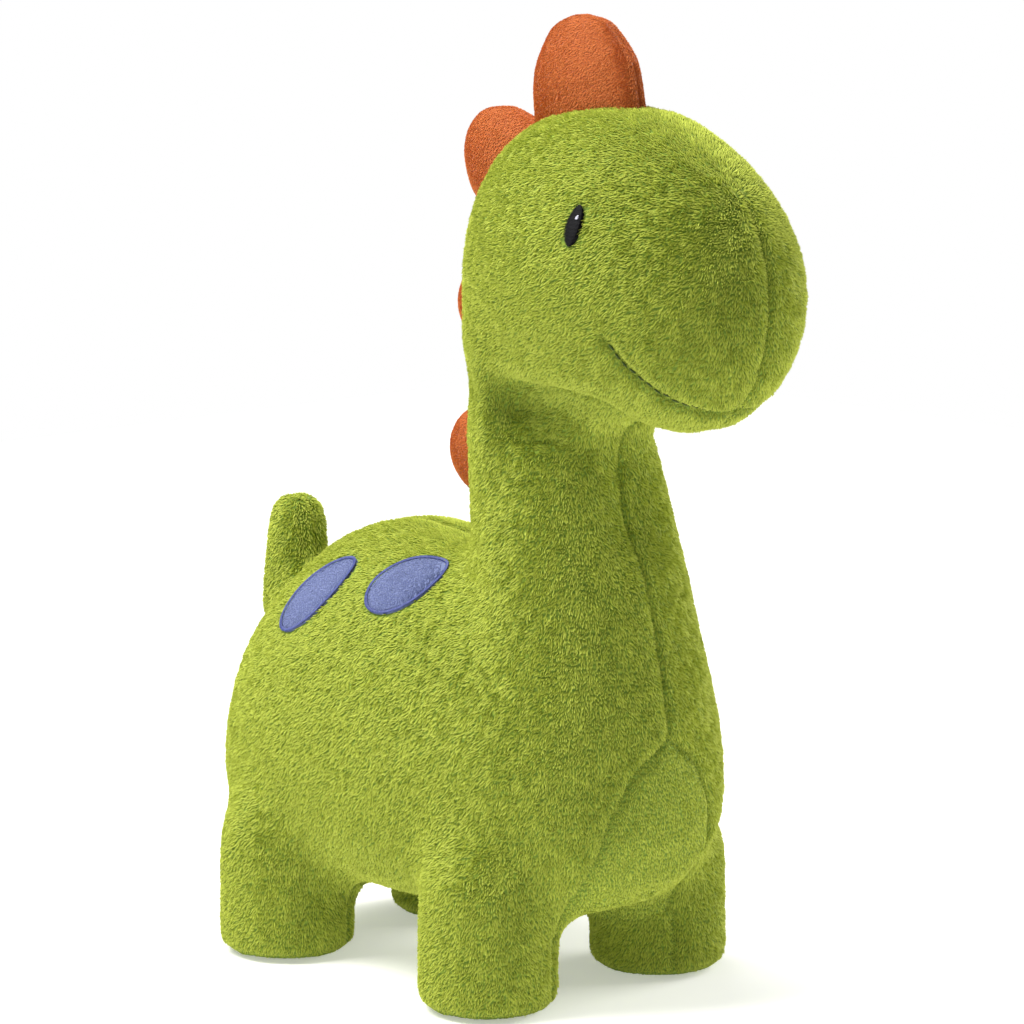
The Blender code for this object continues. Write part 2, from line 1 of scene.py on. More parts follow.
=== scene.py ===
# %% [markdown]
# # A stuffed dinosaur, sewn from plush
# This lesson dresses the fixed model of a long-necked toy dinosaur. The real toy is a set of plush panels
# sewn together and stuffed with fibre, so it has no hard edges: every form is round, pulled in at its seams,
# and covered with a short pile. The steps follow the maker's: camera and light, the stuffed form, the seams,
# the cut panels, the pile, and last the trimmings (scales, spots, eyes and mouth).

# %% Load the fixed model
import json
import math
import bmesh
import bpy
import numpy as np
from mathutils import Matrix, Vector
from mathutils.bvhtree import BVHTree


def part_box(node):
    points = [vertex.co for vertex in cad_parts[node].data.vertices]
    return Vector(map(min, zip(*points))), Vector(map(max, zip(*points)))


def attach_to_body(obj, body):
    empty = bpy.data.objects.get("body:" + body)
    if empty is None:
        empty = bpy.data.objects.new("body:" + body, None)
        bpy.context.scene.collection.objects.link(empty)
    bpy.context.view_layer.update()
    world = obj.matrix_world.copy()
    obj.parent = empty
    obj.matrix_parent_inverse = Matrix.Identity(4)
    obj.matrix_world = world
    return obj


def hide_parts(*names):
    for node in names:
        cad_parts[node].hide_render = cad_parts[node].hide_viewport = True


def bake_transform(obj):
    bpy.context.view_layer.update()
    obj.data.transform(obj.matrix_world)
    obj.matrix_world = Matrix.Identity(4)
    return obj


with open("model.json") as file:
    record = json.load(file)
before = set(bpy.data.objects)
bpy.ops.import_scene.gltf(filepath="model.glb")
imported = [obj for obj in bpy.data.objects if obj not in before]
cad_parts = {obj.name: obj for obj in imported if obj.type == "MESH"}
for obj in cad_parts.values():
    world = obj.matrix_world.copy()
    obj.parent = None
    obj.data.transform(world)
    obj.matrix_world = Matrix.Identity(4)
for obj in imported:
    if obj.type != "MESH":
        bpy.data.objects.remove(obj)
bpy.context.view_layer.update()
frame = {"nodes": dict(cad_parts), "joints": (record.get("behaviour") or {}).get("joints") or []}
PIVOT = {joint["child"]: np.array(joint["pos_m"]) for joint in frame["joints"]}
MM = 0.001

# %% [markdown]
# ## Camera, floor and light
# The toy stands a little above eye level of a table-top camera, seen from its right front. A long lens keeps
# the near foot from looking larger than the far one. The light is a studio's: a large soft lamp high on the
# left, a weaker one on the right to keep the shaded side readable, and a bright even room around.

# %% Camera and floor
TURN, RISE, AWAY = math.radians(-43), math.radians(9.5), 1.5
SENSOR = 36                   # width of the camera's sensor in mm
PICTURE, PER_METRE = 1024, 2940           # the picture's side, and how much of it one metre at the aim takes up
AIM = Vector((-0.0005, PIVOT["neck"][1] + 0.0375, 0.1600))
towards = Vector((math.sin(TURN) * math.cos(RISE), -math.cos(TURN) * math.cos(RISE), math.sin(RISE)))
camera = bpy.data.objects.new("camera", bpy.data.cameras.new("camera"))
camera.location = AIM + towards * AWAY
camera.rotation_euler = (-towards).to_track_quat("-Z", "Y").to_euler()
camera.data.sensor_width = SENSOR
camera.data.lens = SENSOR * PER_METRE * AWAY / PICTURE
bpy.context.scene.collection.objects.link(camera)
bpy.context.scene.camera = camera


def add_lamp(name, place, size, watts, warmth=(1, 1, 1)):
    """A square softbox that faces the toy."""
    lamp = bpy.data.objects.new(name, bpy.data.lights.new(name, "AREA"))
    lamp.data.size, lamp.data.energy, lamp.data.color = size, watts, warmth
    lamp.location = place
    lamp.rotation_euler = (AIM - Vector(place)).to_track_quat("-Z", "Y").to_euler()
    bpy.context.scene.collection.objects.link(lamp)


add_lamp("key_softbox", (-0.85, 0.50, 1.50), 0.8, 28, (1, 0.985, 0.95))
add_lamp("far_side_softbox", (1.25, -0.45, 0.65), 0.9, 17, (1, 0.99, 0.97))
add_lamp("top_softbox", (-0.25, 0.30, 1.5), 0.8, 17)
world = bpy.data.worlds.new("studio_room")
world.use_nodes = True
room = world.node_tree
room.nodes["Background"].inputs["Color"].default_value = (1, 1, 1, 1)
room.nodes["Background"].inputs["Strength"].default_value = 0.30
wall = room.nodes.new("ShaderNodeBackground")
wall.inputs["Color"].default_value = (1, 1, 1, 1)
looked_at = room.nodes.new("ShaderNodeLightPath")
either = room.nodes.new("ShaderNodeMixShader")
room.links.new(looked_at.outputs["Is Camera Ray"], either.inputs[0])
room.links.new(room.nodes["Background"].outputs[0], either.inputs[1])
room.links.new(wall.outputs[0], either.inputs[2])
room.links.new(either.outputs[0], room.nodes["World Output"].inputs["Surface"])
bpy.context.scene.world = world
bpy.context.scene.view_settings.view_transform = "Standard"

# %% [markdown]
# ## Colours and materials
# Colours are written as sRGB hex, as on a paint chart, and one function turns them into the linear values
# that the renderer needs. One more function adds a node with its settings and links, and all materials use it.

# %% Colour and node helpers


def colour(code):
    """sRGB hex to linear RGBA."""
    parts = [int(code[i : i + 2], 16) / 255 for i in (1, 3, 5)]
    return (*[c / 12.92 if c <= 0.04045 else ((c + 0.055) / 1.055) ** 2.4 for c in parts], 1.0)


def add_node(tree, kind, settings=None, values=None, links=None):
    """Adds a node; settings are its properties, values its constant inputs, links its inputs from other nodes."""
    node = tree.nodes.new(kind)
    for key, value in (settings or {}).items():
        setattr(node, key, value)
    for key, value in (values or {}).items():
        node.inputs[key].default_value = value
    for key, source in (links or {}).items():
        tree.links.new(source, node.inputs[key])
    return node


def new_material(name, **constants):
    """A Principled material with these constants; returns the material, its tree and its shader."""
    material = bpy.data.materials.new(name)
    material.use_nodes = True
    shader = material.node_tree.nodes["Principled BSDF"]
    for key, value in constants.items():
        shader.inputs[key.replace("_", " ")].default_value = value
    return material, material.node_tree, shader


def add_ramp(tree, factor, stops):
    """A colour ramp from (place, hex) stops."""
    ramp = add_node(tree, "ShaderNodeValToRGB", links={"Fac": factor})
    while len(ramp.color_ramp.elements) < len(stops):
        ramp.color_ramp.elements.new(0.5)
    for element, (place, code) in zip(ramp.color_ramp.elements, stops):
        element.position, element.color = place, colour(code)
    return ramp.outputs["Color"]


# %% Floor
bm = bmesh.new()
bmesh.ops.create_grid(bm, x_segments=1, y_segments=1, size=1.1)
floor = bpy.data.objects.new("floor", bpy.data.meshes.new("floor"))
bm.to_mesh(floor.data)
bm.free()
paper, _, _ = new_material("seamless_paper", Roughness=0.9, Base_Color=colour("#f4f4f2"),
                           Emission_Color=(1, 1, 1, 1), Emission_Strength=0.36)
floor.data.materials.append(paper)
bpy.context.scene.collection.objects.link(floor)

# %% [markdown]
# ## The stuffed form
# Each stuffed part of the CAD model is nearly convex, but its solids have hollows cut for the hinges. The
# convex hull of a part's solids gives the full round form back. The hulls are joined into one surface by a
# voxel remesh, and the creases between them are smoothed, because on the real toy the cloth runs on from
# chest to neck and from flank to leg.

# %% Helpers for meshes


def as_object(name, bm):
    mesh = bpy.data.meshes.new(name)
    bm.to_mesh(mesh)
    bm.free()
    item = bpy.data.objects.new(name, mesh)
    bpy.context.scene.collection.objects.link(item)
    return item


def baked(item, name=None):
    """A plain mesh object of what an object's modifiers make; the object itself goes."""
    bpy.context.view_layer.update()
    graph = bpy.context.evaluated_depsgraph_get()
    mesh = bpy.data.meshes.new_from_object(item.evaluated_get(graph), preserve_all_data_layers=True, depsgraph=graph)
    result = bpy.data.objects.new(name or item.name + "_done", mesh)
    bpy.context.scene.collection.objects.link(result)
    bpy.data.objects.remove(item, do_unlink=True)
    return result


def remeshed(item, voxel, name):
    """One closed skin round everything in an object."""
    remesh = item.modifiers.new("one_skin", "REMESH")
    remesh.mode, remesh.voxel_size = "VOXEL", voxel
    return baked(item, name)


def made_finer(item, name):
    finer = item.modifiers.new("finer", "SUBSURF")
    finer.levels = finer.render_levels = 1
    return baked(item, name)


def points_of(item):
    flat = np.zeros(len(item.data.vertices) * 3, np.float32)
    item.data.vertices.foreach_get("co", flat)
    return flat.reshape(-1, 3).astype(float)


def normals_of(item):
    flat = np.zeros(len(item.data.vertices) * 3, np.float32)
    item.data.vertex_normals.foreach_get("vector", flat)
    return flat.reshape(-1, 3).astype(float)


def set_points(item, points):
    item.data.vertices.foreach_set("co", points.astype(np.float32).ravel())
    item.data.update()


def hull_of(*nodes, bm=None):
    """The convex hull of some CAD nodes, or of a bmesh's own points, as a bmesh."""
    bm = bm or bmesh.new()
    for node in nodes:
        for vertex in frame["nodes"][node].data.vertices:
            bm.verts.new(vertex.co)
    result = bmesh.ops.convex_hull(bm, input=bm.verts, use_existing_faces=False)
    inside = {v for v in result["geom_interior"] if isinstance(v, bmesh.types.BMVert)}
    bmesh.ops.delete(bm, geom=list(inside), context="VERTS")
    bmesh.ops.delete(bm, geom=[v for v in bm.verts if not v.link_faces], context="VERTS")
    bmesh.ops.recalc_face_normals(bm, faces=bm.faces)
    return bm


LEGS = [f"{place}_leg_{side}" for place in ("front", "hind") for side in ("right", "left")]
STUFFED = {
    "torso": ("body_side_right", "body_side_left", "belly_gusset", "body_filling"),
    "neck": ("neck_side_right", "neck_side_left", "neck_filling"),
    "head": ("head_side_right", "head_side_left", "head_filling"),
    "tail": ("tail_side_right", "tail_side_left", "tail_filling"),
}
for leg in LEGS:
    STUFFED[leg] = tuple(f"{leg}_{word}" for word in ("outer_panel", "inner_panel", "sole", "filling"))

# %% [markdown]
# Two more hulls fill the hollows that the stuffing fills on the real toy: one from the lower neck to the front
# of the chest, so that the throat runs down in one line, and one from the back of the head to the neck.

# %% Join the hulls into one skin
VOXEL = 3 * MM
NECK_Y = PIVOT["neck"][1]
FILLS = (
    (("neck", "torso"), lambda v, body: v.y < NECK_Y - 6 * MM and v.z > 72 * MM or body == "neck"),
    (("head", "neck"), lambda v, body: v.y > NECK_Y + 8 * MM and 140 * MM < v.z < 262 * MM),
)


def filling_hull(bodies, chosen):
    """The convex hull of the chosen points of two stuffed forms."""
    bm = bmesh.new()
    for body in bodies:
        for node in STUFFED[body]:
            for vertex in frame["nodes"][node].data.vertices:
                if chosen(vertex.co, body):
                    bm.verts.new(vertex.co)
    return hull_of(bm=bm)


hull_trees = {body: BVHTree.FromBMesh(hull_of(*nodes)) for body, nodes in STUFFED.items()}
hulls = [filling_hull(bodies, chosen) for bodies, chosen in FILLS] + [hull_of(*nodes) for nodes in STUFFED.values()]
joined = bmesh.new()
for hull in hulls:
    mesh = bpy.data.meshes.new("hull")
    hull.to_mesh(mesh)
    hull.free()
    joined.from_mesh(mesh)
skin = remeshed(as_object("skin", joined), VOXEL, "skin_done")
print("one skin:", len(skin.data.vertices), "points")

# %% [markdown]
# Smoothing the whole skin would shrink the small forms. So a point is smoothed much only where two hulls
# are near each other, which is where the creases are.

# %% Smooth the creases
CREASE_REACH = 15 * MM
CREASE_ROUNDS = 14


def smooth(item, weights, rounds):
    """Moves every point towards the middle of its neighbours, by its own weight, some rounds."""
    points = points_of(item)
    edges = np.zeros(len(item.data.edges) * 2, np.int32)
    item.data.edges.foreach_get("vertices", edges)
    a, b = edges.reshape(-1, 2).T
    count = np.bincount(np.concatenate((a, b)), minlength=len(points))[:, None]
    for _ in range(rounds):
        total = np.zeros_like(points)
        np.add.at(total, a, points[b])
        np.add.at(total, b, points[a])
        points += weights[:, None] * (total / count - points)
    set_points(item, points)


def crease_weight(points):
    """1 where two stuffed forms are equally near, 0 where the second nearest is far."""
    weights = np.zeros(len(points))
    for i, point in enumerate(points):
        gaps = sorted(tree.find_nearest(point, CREASE_REACH)[3] or CREASE_REACH for tree in hull_trees.values())
        weights[i] = max(0.0, 1.0 - gaps[1] / CREASE_REACH)
    return weights


smooth(skin, np.full(len(skin.data.vertices), 0.5), 2)
smooth(skin, 0.9 * np.sqrt(crease_weight(points_of(skin))), CREASE_ROUNDS)
print("smoothed, box in mm", np.round(points_of(skin).min(0) / MM, 1), np.round(points_of(skin).max(0) / MM, 1))

# %% [markdown]
# ## The stuffing
# A stuffed form swells between its seams and is held in along them. A short cloth simulation with pressure
# inside gives just that: the points along the seams are pinned, the rest is blown out a little. The skin starts
# slightly small, because the pile stands on it, and no point may move far. The seams are described here once,
# as distances, because the panels, the grooves and the pile need them too.

# %% Where the seams run
PILE_ROOM = 1.4 * MM          # the pile stands this far out of the skin
GUSSET_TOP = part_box("belly_gusset")[1][2]
GUSSET_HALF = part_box("belly_gusset")[1][0]
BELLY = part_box("belly_gusset")[0][2]
GUSSET_LINE = [(0.0, 0.0), (0.52, 0.14), (0.82, 0.33), (1.0, 0.59), (1.0, 1.4)]
GUSSET_LINE = [(GUSSET_HALF * a, GUSSET_TOP - (GUSSET_TOP - BELLY) * b) for a, b in GUSSET_LINE]
LEG_SEAM_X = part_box("front_leg_left_outer_panel")[0][0]
LEG_TOP = 31 * MM             # height of the leg's cut line under the leg's centre
LEG_TILT = 0.44               # how fast the cut line climbs outwards
LEG_REACH = 29 * MM
HIGH_SEAM = PIVOT["head"][2] + 66 * MM    # above this the head's seam lies flat


def ramp_up(value, low, high):
    """0 below low, 1 above high, smooth between."""
    share = np.clip((value - low) / (high - low), 0.0, 1.0)
    return share * share * (3 - 2 * share)


def line_gap(x, z, line):
    """Distance in a plane from points to a broken line."""
    best = np.full(len(x), 1.0)
    for (x0, z0), (x1, z1) in zip(line, line[1:]):
        dx, dz = x1 - x0, z1 - z0
        share = np.clip(((x - x0) * dx + (z - z0) * dz) / (dx * dx + dz * dz), 0, 1)
        best = np.minimum(best, np.hypot(x - x0 - share * dx, z - z0 - share * dz))
    return best


# A cut plane between two bodies: the parent's side is below it. (place, direction, length of the bend)
CUTS = {
    "neck": (PIVOT["neck"] + (0, 0, 0.0235), np.array((0, -0.497, 0.868)), 33 * MM),
    "head": (PIVOT["head"] + (0, 0, 0.0040), np.array((0, -0.6, 0.8)), 30 * MM),
    "tail": (PIVOT["tail"] + (0, 0, 0.0045), np.array((0, 0.616, 0.788)), 20 * MM),
}
for leg in LEGS:
    x, y, _ = PIVOT[leg]
    outwards = math.copysign(1, x)
    lean = np.array((outwards * LEG_TILT, 0, -1.0))
    CUTS[leg] = (np.array((x, y, LEG_TOP)), lean / np.linalg.norm(lean), 22 * MM)


def past(points, body):
    """How far points lie beyond a body's cut plane."""
    place, direction, _ = CUTS[body]
    return (points - place) @ direction


def body_index(points):
    """Which body each point belongs to: 0 torso, 1 neck, 2 head, 3 tail, then the legs."""
    index = np.zeros(len(points), int)
    index[(past(points, "neck") > 0) & (points[:, 2] > 90 * MM) & (points[:, 1] < 50 * MM)] = 1
    index[(past(points, "head") > 0) & (points[:, 2] > 150 * MM)] = 2
    index[(past(points, "tail") > 0) & (points[:, 1] > 80 * MM)] = 3
    for k, leg in enumerate(LEGS):
        near = np.hypot(points[:, 0] - PIVOT[leg][0], points[:, 1] - PIVOT[leg][1]) < LEG_REACH
        index[(past(points, leg) > 0) & near & (points[:, 2] < 60 * MM)] = 4 + k
    return index


def seam_gap(points):
    """Distance to the nearest seam between two panels."""
    x, z = np.abs(points[:, 0]), points[:, 2]
    body = body_index(points)
    gap = np.where((z > GUSSET_TOP) | (body > 0) & (body < 4), x, 1.0)
    gap = np.where(body == 0, np.minimum(gap, line_gap(x, z, GUSSET_LINE)), gap)
    gap = np.where(body > 3, np.minimum(np.abs(x - LEG_SEAM_X), np.abs(z - 3 * MM)), gap)
    gap = np.where(body == 3, gap + 1.2 * MM, gap)
    return gap + 3.0 * MM * ramp_up(z, HIGH_SEAM, HIGH_SEAM + 22 * MM)


# %% Blow the skin up between its seams
CLOTH_CAP = 3.0 * MM
PINNED = 3.5 * MM
CLOTH_STEPS = 20


def stuff(item, pinned, pressure, cap):
    """Cloth with pressure and no gravity, pinned by weight; no point moves further than the cap."""
    before = points_of(item)
    group = item.vertex_groups.new(name="seams")
    for i, weight in enumerate(pinned):
        group.add([i], float(weight), "REPLACE")
    cloth = item.modifiers.new("stuffing", "CLOTH")
    cloth.settings.use_pressure = True
    cloth.settings.uniform_pressure_force = pressure
    cloth.settings.effector_weights.gravity = 0
    cloth.settings.vertex_group_mass = "seams"
    cloth.settings.quality = 4
    scene = bpy.context.scene
    for number in range(1, CLOTH_STEPS + 1):
        scene.frame_set(number)
    item = baked(item, item.name)
    scene.frame_set(1)
    move = points_of(item) - before
    far = np.linalg.norm(move, axis=1)
    scale = np.minimum(1.0, cap / np.maximum(far, 1e-9))
    set_points(item, before + move * scale[:, None])
    print(item.name, "swelled by", round(float(far.mean() / MM), 2), "mm on average")
    return item


set_points(skin, points_of(skin) - normals_of(skin) * PILE_ROOM * 1.4)
held = 1.0 - ramp_up(seam_gap(points_of(skin)), PINNED * 0.4, PINNED * 2)
skin = stuff(skin, held, 4.0, CLOTH_CAP)
smooth(skin, np.full(len(skin.data.vertices), 0.4), 2)
skin = made_finer(skin, "skin")
print("skin after the stuffing:", len(skin.data.vertices), "points, mm", np.round(points_of(skin).min(0) / MM, 1))

# %% [markdown]
# ## Seams and creases
# Sewing pulls the cloth in, so each seam is a shallow groove. The pile hides the thread, but not the groove.
# Creases are pressed in as well: under the jaw, where the head sags onto the neck, half-way down the neck,
# and along the smile.

# %% Press the seams in
SEAM_DEPTH, SEAM_REACH = 1.3 * MM, 1.9 * MM
SOLE_LEVEL = 1.3 * MM


def press(points, normals, gap, depth, reach):
    """Points pushed in along their normals, by the depth at a gap of 0 and less beyond it."""
    return points - normals * (depth * np.exp(-((gap / reach) ** 2)))[:, None]


def on_both_sides(line):
    """A line of (right, front, up) millimetres from the head's pivot, and its mirror image."""
    here = np.array(line) * MM
    return [here * (-1, -1, 1) + PIVOT["head"], here * (1, -1, 1) + PIVOT["head"]]


def line_distance(points, line):
    """Distance from points to a broken line in space."""
    best = np.full(len(points), 1.0)
    for start, end in zip(line, line[1:]):
        along = end - start
        share = np.clip((points - start) @ along / (along @ along), 0, 1)
        best = np.minimum(best, np.linalg.norm(points - start - share[:, None] * along, axis=1))
    return best


def tree_of(item):
    form = bmesh.new()
    form.from_mesh(item.data)
    tree = BVHTree.FromBMesh(form)
    form.free()
    return tree


def laid_level(tree, line):
    """The line moved level onto a surface, towards or away from the head's upright axis."""
    result = []
    for point in line:
        inwards = Vector((-point[0], PIVOT["head"][1] - 30 * MM - point[1], 0)).normalized()
        place = tree.ray_cast(Vector(point) - inwards * 40 * MM, inwards)[0]
        result.append(np.array(place if place else point))
    return result


# Each crease: its line, depth and reach in mm, and whether the pile parts there. A depth below 0 is a swell.
MOUTH = [(37.5, 59.5, 38.0), (32.5, 64.5, 29.2), (24.0, 69.5, 20.8), (12.0, 73.0, 14.6), (0.0, 74.0, 13.6)]
JAW = [(22.0, -12.0, 24.0), (24.7, -8.2, 22.1), (28.0, 9.8, 18.2), (29.7, 35.4, 17.0), (27.0, 46.6, 15.5),
       (15.0, 49.0, 9.0), (0.0, 47.0, 4.0)]
CREASES = (
    (JAW, 3.8, 3.6, False),
    ([(x, y + 2, z + 10) for x, y, z in JAW[1:-2]], -3.4, 7.0, False),
    ([(x, y, z - 9) for x, y, z in JAW[1:-1]], 4.6, 8.5, False),
    ([(0.0, 44.0, 2.0), (0.0, 38.0, -12.0), (0.0, 36.0, -26.0)], 3.0, 14.0, False),
    ([(27.0, -14.0, -6.5), (27.4, -7.8, -5.1), (25.5, 12.0, -2.1), (19.9, 20.4, -1.0)], 2.2, 1.8, False),
    ([(0.0, -74.0, -43.0), (0.0, -98.0, -49.0)], -2.6, 19.0, False),
)
CREASE_LINES = [(side, *form) for line, *form in CREASES for side in on_both_sides(line)]
mouth_lines = [laid_level(tree_of(skin), side) for side in on_both_sides(MOUTH)]
CREASE_LINES += [(side, 1.7, 1.8, True) for side in mouth_lines]

places, facing = points_of(skin), normals_of(skin)
places = press(places, facing, seam_gap(places), SEAM_DEPTH, SEAM_REACH)
not_tail = body_index(places) != 3
for line, depth, reach, _ in CREASE_LINES:
    places = press(places, facing, np.where(not_tail, line_distance(places, line), 1.0), depth * MM, reach * MM)
lowest = places[:, 2].min()
places[:, 2] -= (lowest - SOLE_LEVEL) * (1 - ramp_up(places[:, 2], lowest, 14 * MM))
set_points(skin, places)
SKIN_TREE = tree_of(skin)
print("pressed seams; deepest", SEAM_DEPTH / MM, "mm; soles at", round(places[:, 2].min() / MM, 2), "mm")

# %% [markdown]
# ## Cutting the panels
# The real skin is cut from flat panels: a right and a left side for body, neck, head and tail, an outer and an
# inner panel and a sole for each leg, and the gusset under the chest and belly. The one skin is divided along
# the same lines, so neighbours share an edge exactly. Each panel then gets a thickness and is a closed piece.

# %% Split the skin along the seams
BACKING = 1.2 * MM


def split(bm, place, normal, keep):
    """Divides the faces for which keep(centre) holds, along a plane."""
    faces = [face for face in bm.faces if keep(face.calc_center_median())]
    geometry = set(faces)
    for face in faces:
        geometry.update(face.edges)
        geometry.update(face.verts)
    bmesh.ops.bisect_plane(bm, geom=list(geometry), plane_co=Vector(place), plane_no=Vector(normal), dist=5e-5)


bm = bmesh.new()
bm.from_mesh(skin.data)
split(bm, (0, 0, 0), (1, 0, 0), lambda c: c.z > GUSSET_TOP - 2 * MM)
split(bm, *CUTS["neck"][:2], lambda c: c.z > 90 * MM and c.y < 50 * MM)
split(bm, *CUTS["head"][:2], lambda c: c.z > 150 * MM)
split(bm, *CUTS["tail"][:2], lambda c: c.y > 80 * MM)
for leg in LEGS:
    x, y, _ = PIVOT[leg]
    beside = lambda c: c.z < 60 * MM and math.hypot(c.x - x, c.y - y) < LEG_REACH
    split(bm, *CUTS[leg][:2], beside)
    split(bm, (math.copysign(LEG_SEAM_X, x), 0, 0), (1, 0, 0), lambda c: c.z < 40 * MM and c.x * x > 0)
for (x0, z0), (x1, z1) in zip(GUSSET_LINE, GUSSET_LINE[1:]):
    for way in (-1, 1):
        side_of = lambda c: z1 - MM < c.z < z0 + MM and c.x * way > 0
        split(bm, (way * x0, 0, z0), (way * (z0 - z1), 0, x1 - x0), side_of)
bm.faces.ensure_lookup_table()
print("after the cuts:", len(bm.faces), "faces")

# %% Sort the faces into panels
centres = np.array([face.calc_center_median() for face in bm.faces])
facing = np.array([face.normal for face in bm.faces])
bodies = body_index(centres)
right = centres[:, 0] < 0
edge_x = np.interp(-centres[:, 2], [-z for _, z in GUSSET_LINE], [x for x, _ in GUSSET_LINE])
in_gusset = (centres[:, 2] < GUSSET_TOP) & (np.abs(centres[:, 0]) < edge_x)
names = np.empty(len(centres), object)
for k, stem in enumerate(("body", "neck", "head", "tail")):
    names[bodies == k] = np.where(right, f"{stem}_side_right", f"{stem}_side_left")[bodies == k]
names[(bodies == 0) & in_gusset] = "belly_gusset"
for k, leg in enumerate(LEGS):
    mine = bodies == 4 + k
    inner = np.abs(centres[:, 0]) < LEG_SEAM_X
    names[mine] = np.where(inner, f"{leg}_inner_panel", f"{leg}_outer_panel")[mine]
    names[mine & (centres[:, 2] < 2.2 * MM)] = f"{leg}_sole"
panels = {}
for name in sorted(set(names)):
    part = bm.copy()
    part.faces.ensure_lookup_table()
    bmesh.ops.delete(part, geom=[part.faces[i] for i in np.flatnonzero(names != name)], context="FACES")
    panels[name] = as_object(name + "_plush", part)
    panels[name].data.shade_smooth()
bm.free()
bpy.data.objects.remove(skin, do_unlink=True)
print(len(panels), "panels:", ", ".join(sorted(panels)))

# %% [markdown]
# ## Trimmings: where they sit
# Spots and eyes are sewn or stitched through the plush, so the pile is clipped away under them. They are set out here
# first, because the pile must know about them. Each sits where its CAD node is, on the skin.

# %% Places of the spots and eyes
SIDES = (("right", -1), ("left", 1))
PARTING = 1.1 * MM
SPOT_FORMS = {                # lean of the long axis in degrees, length, width, pointedness of the upper end
    "front_spot": (38.0, 30.5 * MM, 22.5 * MM, 0.13),
    "rear_spot": (26.0, 36.5 * MM, 21.0 * MM, 0.0),
}
EYE_LONG, EYE_WIDE = 13.8 * MM, 6.0 * MM


def on_skin(node):
    """The point of the skin at a CAD node's middle, and the way out."""
    low, high = (np.array(corner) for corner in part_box(node))
    place, outwards, _, _ = SKIN_TREE.find_nearest(Vector((low + high) / 2))
    return place, outwards


class Patch:
    """An oval on the skin: its place and axes, and a function from its plane to the skin."""

    def __init__(self, node, up, length, width, pointed=0.0, shift=(0.0, 0.0, 0.0)):
        self.centre = SKIN_TREE.find_nearest(on_skin(node)[0] + Vector(shift) * MM)[0]
        ring = [SKIN_TREE.find_nearest(self.centre + Vector(step) * 4 * MM)[1]
                for step in ((0, 0, 0), (0, 1, 0), (0, -1, 0), (0, 0, 1), (0, 0, -1))]
        self.out = sum(ring, Vector()).normalized()
        self.side = up.cross(self.out).normalized()
        self.up = self.out.cross(self.side).normalized()
        self.length, self.width, self.pointed = length, width, pointed

    def flat(self, share, angle):
        along = math.sin(angle) * (1 + self.pointed * max(math.sin(angle), 0) ** 3)
        return self.side * math.cos(angle) * share * self.width / 2 + self.up * along * share * self.length / 2

    def lay(self, step, lift):
        """The point over the skin at a step in the patch's plane."""
        start = self.centre + step + self.out * 20 * MM
        place = SKIN_TREE.ray_cast(start, -self.out)[0]
        return place + self.out * lift


spots, eyes = {}, {}
for word, side in SIDES:
    for stem, (lean, length, width, pointed) in SPOT_FORMS.items():
        up = Vector((0, -math.sin(math.radians(lean)), math.cos(math.radians(lean))))
        spots[f"{stem}_{word}"] = Patch(f"{stem}_{word}", up, length, width, pointed)
    eyes[f"eye_{word}"] = Patch(f"eye_{word}", Vector((0, -0.10, 1)), EYE_LONG, EYE_WIDE, shift=(0, -1.6, 2.0))
COVERED = [(np.array(eye.centre + eye.up * shift * MM), 3.5 * MM) for eye in eyes.values() for shift in (-4, 0, 4)]


def under_patch(points, patch, spare):
    """True for the points under a patch, with some room round it."""
    off = points - np.array(patch.centre)
    across, along = off @ np.array(patch.side), off @ np.array(patch.up)
    inside = np.hypot(across / (patch.width / 2 + spare), along / (patch.length / 2 + spare))
    return (inside < 1.0) & (np.abs(off @ np.array(patch.out)) < 12 * MM)


print(len(spots), "spots and", len(eyes), "eyes placed")

# %% [markdown]
# ## The pile
# Plush is a knitted backing with a dense fur of cut fibres, a millimetre or two long here, brushed one way. The
# fibres cling together in tufts, and the tufts are what the eye sees. Each tuft is a slim closed spike, set
# out over a panel by Geometry Nodes: they lie along the nap, and a noise leans neighbouring tufts together
# and makes some stretches longer. Hair curves would be finer, but plain spikes stay in an exported model.

# %% Tell the skin where the pile grows
# Tip, middle and root of a tuft; the darker root is partly painted shade deep in the pile.
PLUSH_LIT, PLUSH_MID, PLUSH_DEEP = "#dde26c", "#bfca4a", "#8a9a30"


def add_values(item, name, values, kind="FLOAT"):
    layer = item.data.attributes.new(name, kind, "POINT")
    layer.data.foreach_set("value" if kind == "FLOAT" else "vector", np.asarray(values, np.float32).ravel())


def drop_values(item, *names):
    """Takes away attributes that have done their work."""
    for name in names:
        if name in item.data.attributes:
            item.data.attributes.remove(item.data.attributes[name])


def make_bed(item, grows, parting_and_shade, painted_shade_factor, nap):
    """Tells a surface where its pile grows, where it parts and its colour takes painted shade, how much painted shade
    darkens it under the jaw, and which way it lies.
    """
    add_values(item, "grows", grows)
    add_values(item, "parting_and_shade", parting_and_shade)
    add_values(item, "open", painted_shade_factor)
    add_values(item, "nap", nap, "FLOAT_VECTOR")


def grow_map(points):
    """Where the pile grows: 1, or 0 under a trim."""
    grows = np.ones(len(points))
    for place, radius in COVERED:
        grows *= np.linalg.norm(points - place, axis=1) > radius
    for patch in spots.values():
        grows *= ~under_patch(points - np.array(patch.up) * 0.5 * MM, patch, 1.1 * MM)
    return grows


def parting_and_painted_shade(points):
    """0 on a seam or in the mouth's crease, where the pile is short and darkened by painted shade, 1 away from them;
    narrow creases pull it half-way down, shortening the pile and adding painted shade.
    """
    gap = seam_gap(points)
    for line in mouth_lines:
        gap = np.minimum(gap, line_distance(points, line) * 0.7)
    unparted_unshaded = 1.0 - np.exp(-((gap / PARTING) ** 2))
    # Painted shade: narrow creases darken the pile's colour, and shorten it.
    for line, depth, reach, _ in CREASE_LINES:
        if 0 < depth and reach < 4:
            unparted_unshaded *= 1.0 - 0.5 * np.exp(-((line_distance(points, line) / (reach * MM)) ** 2))
    return unparted_unshaded


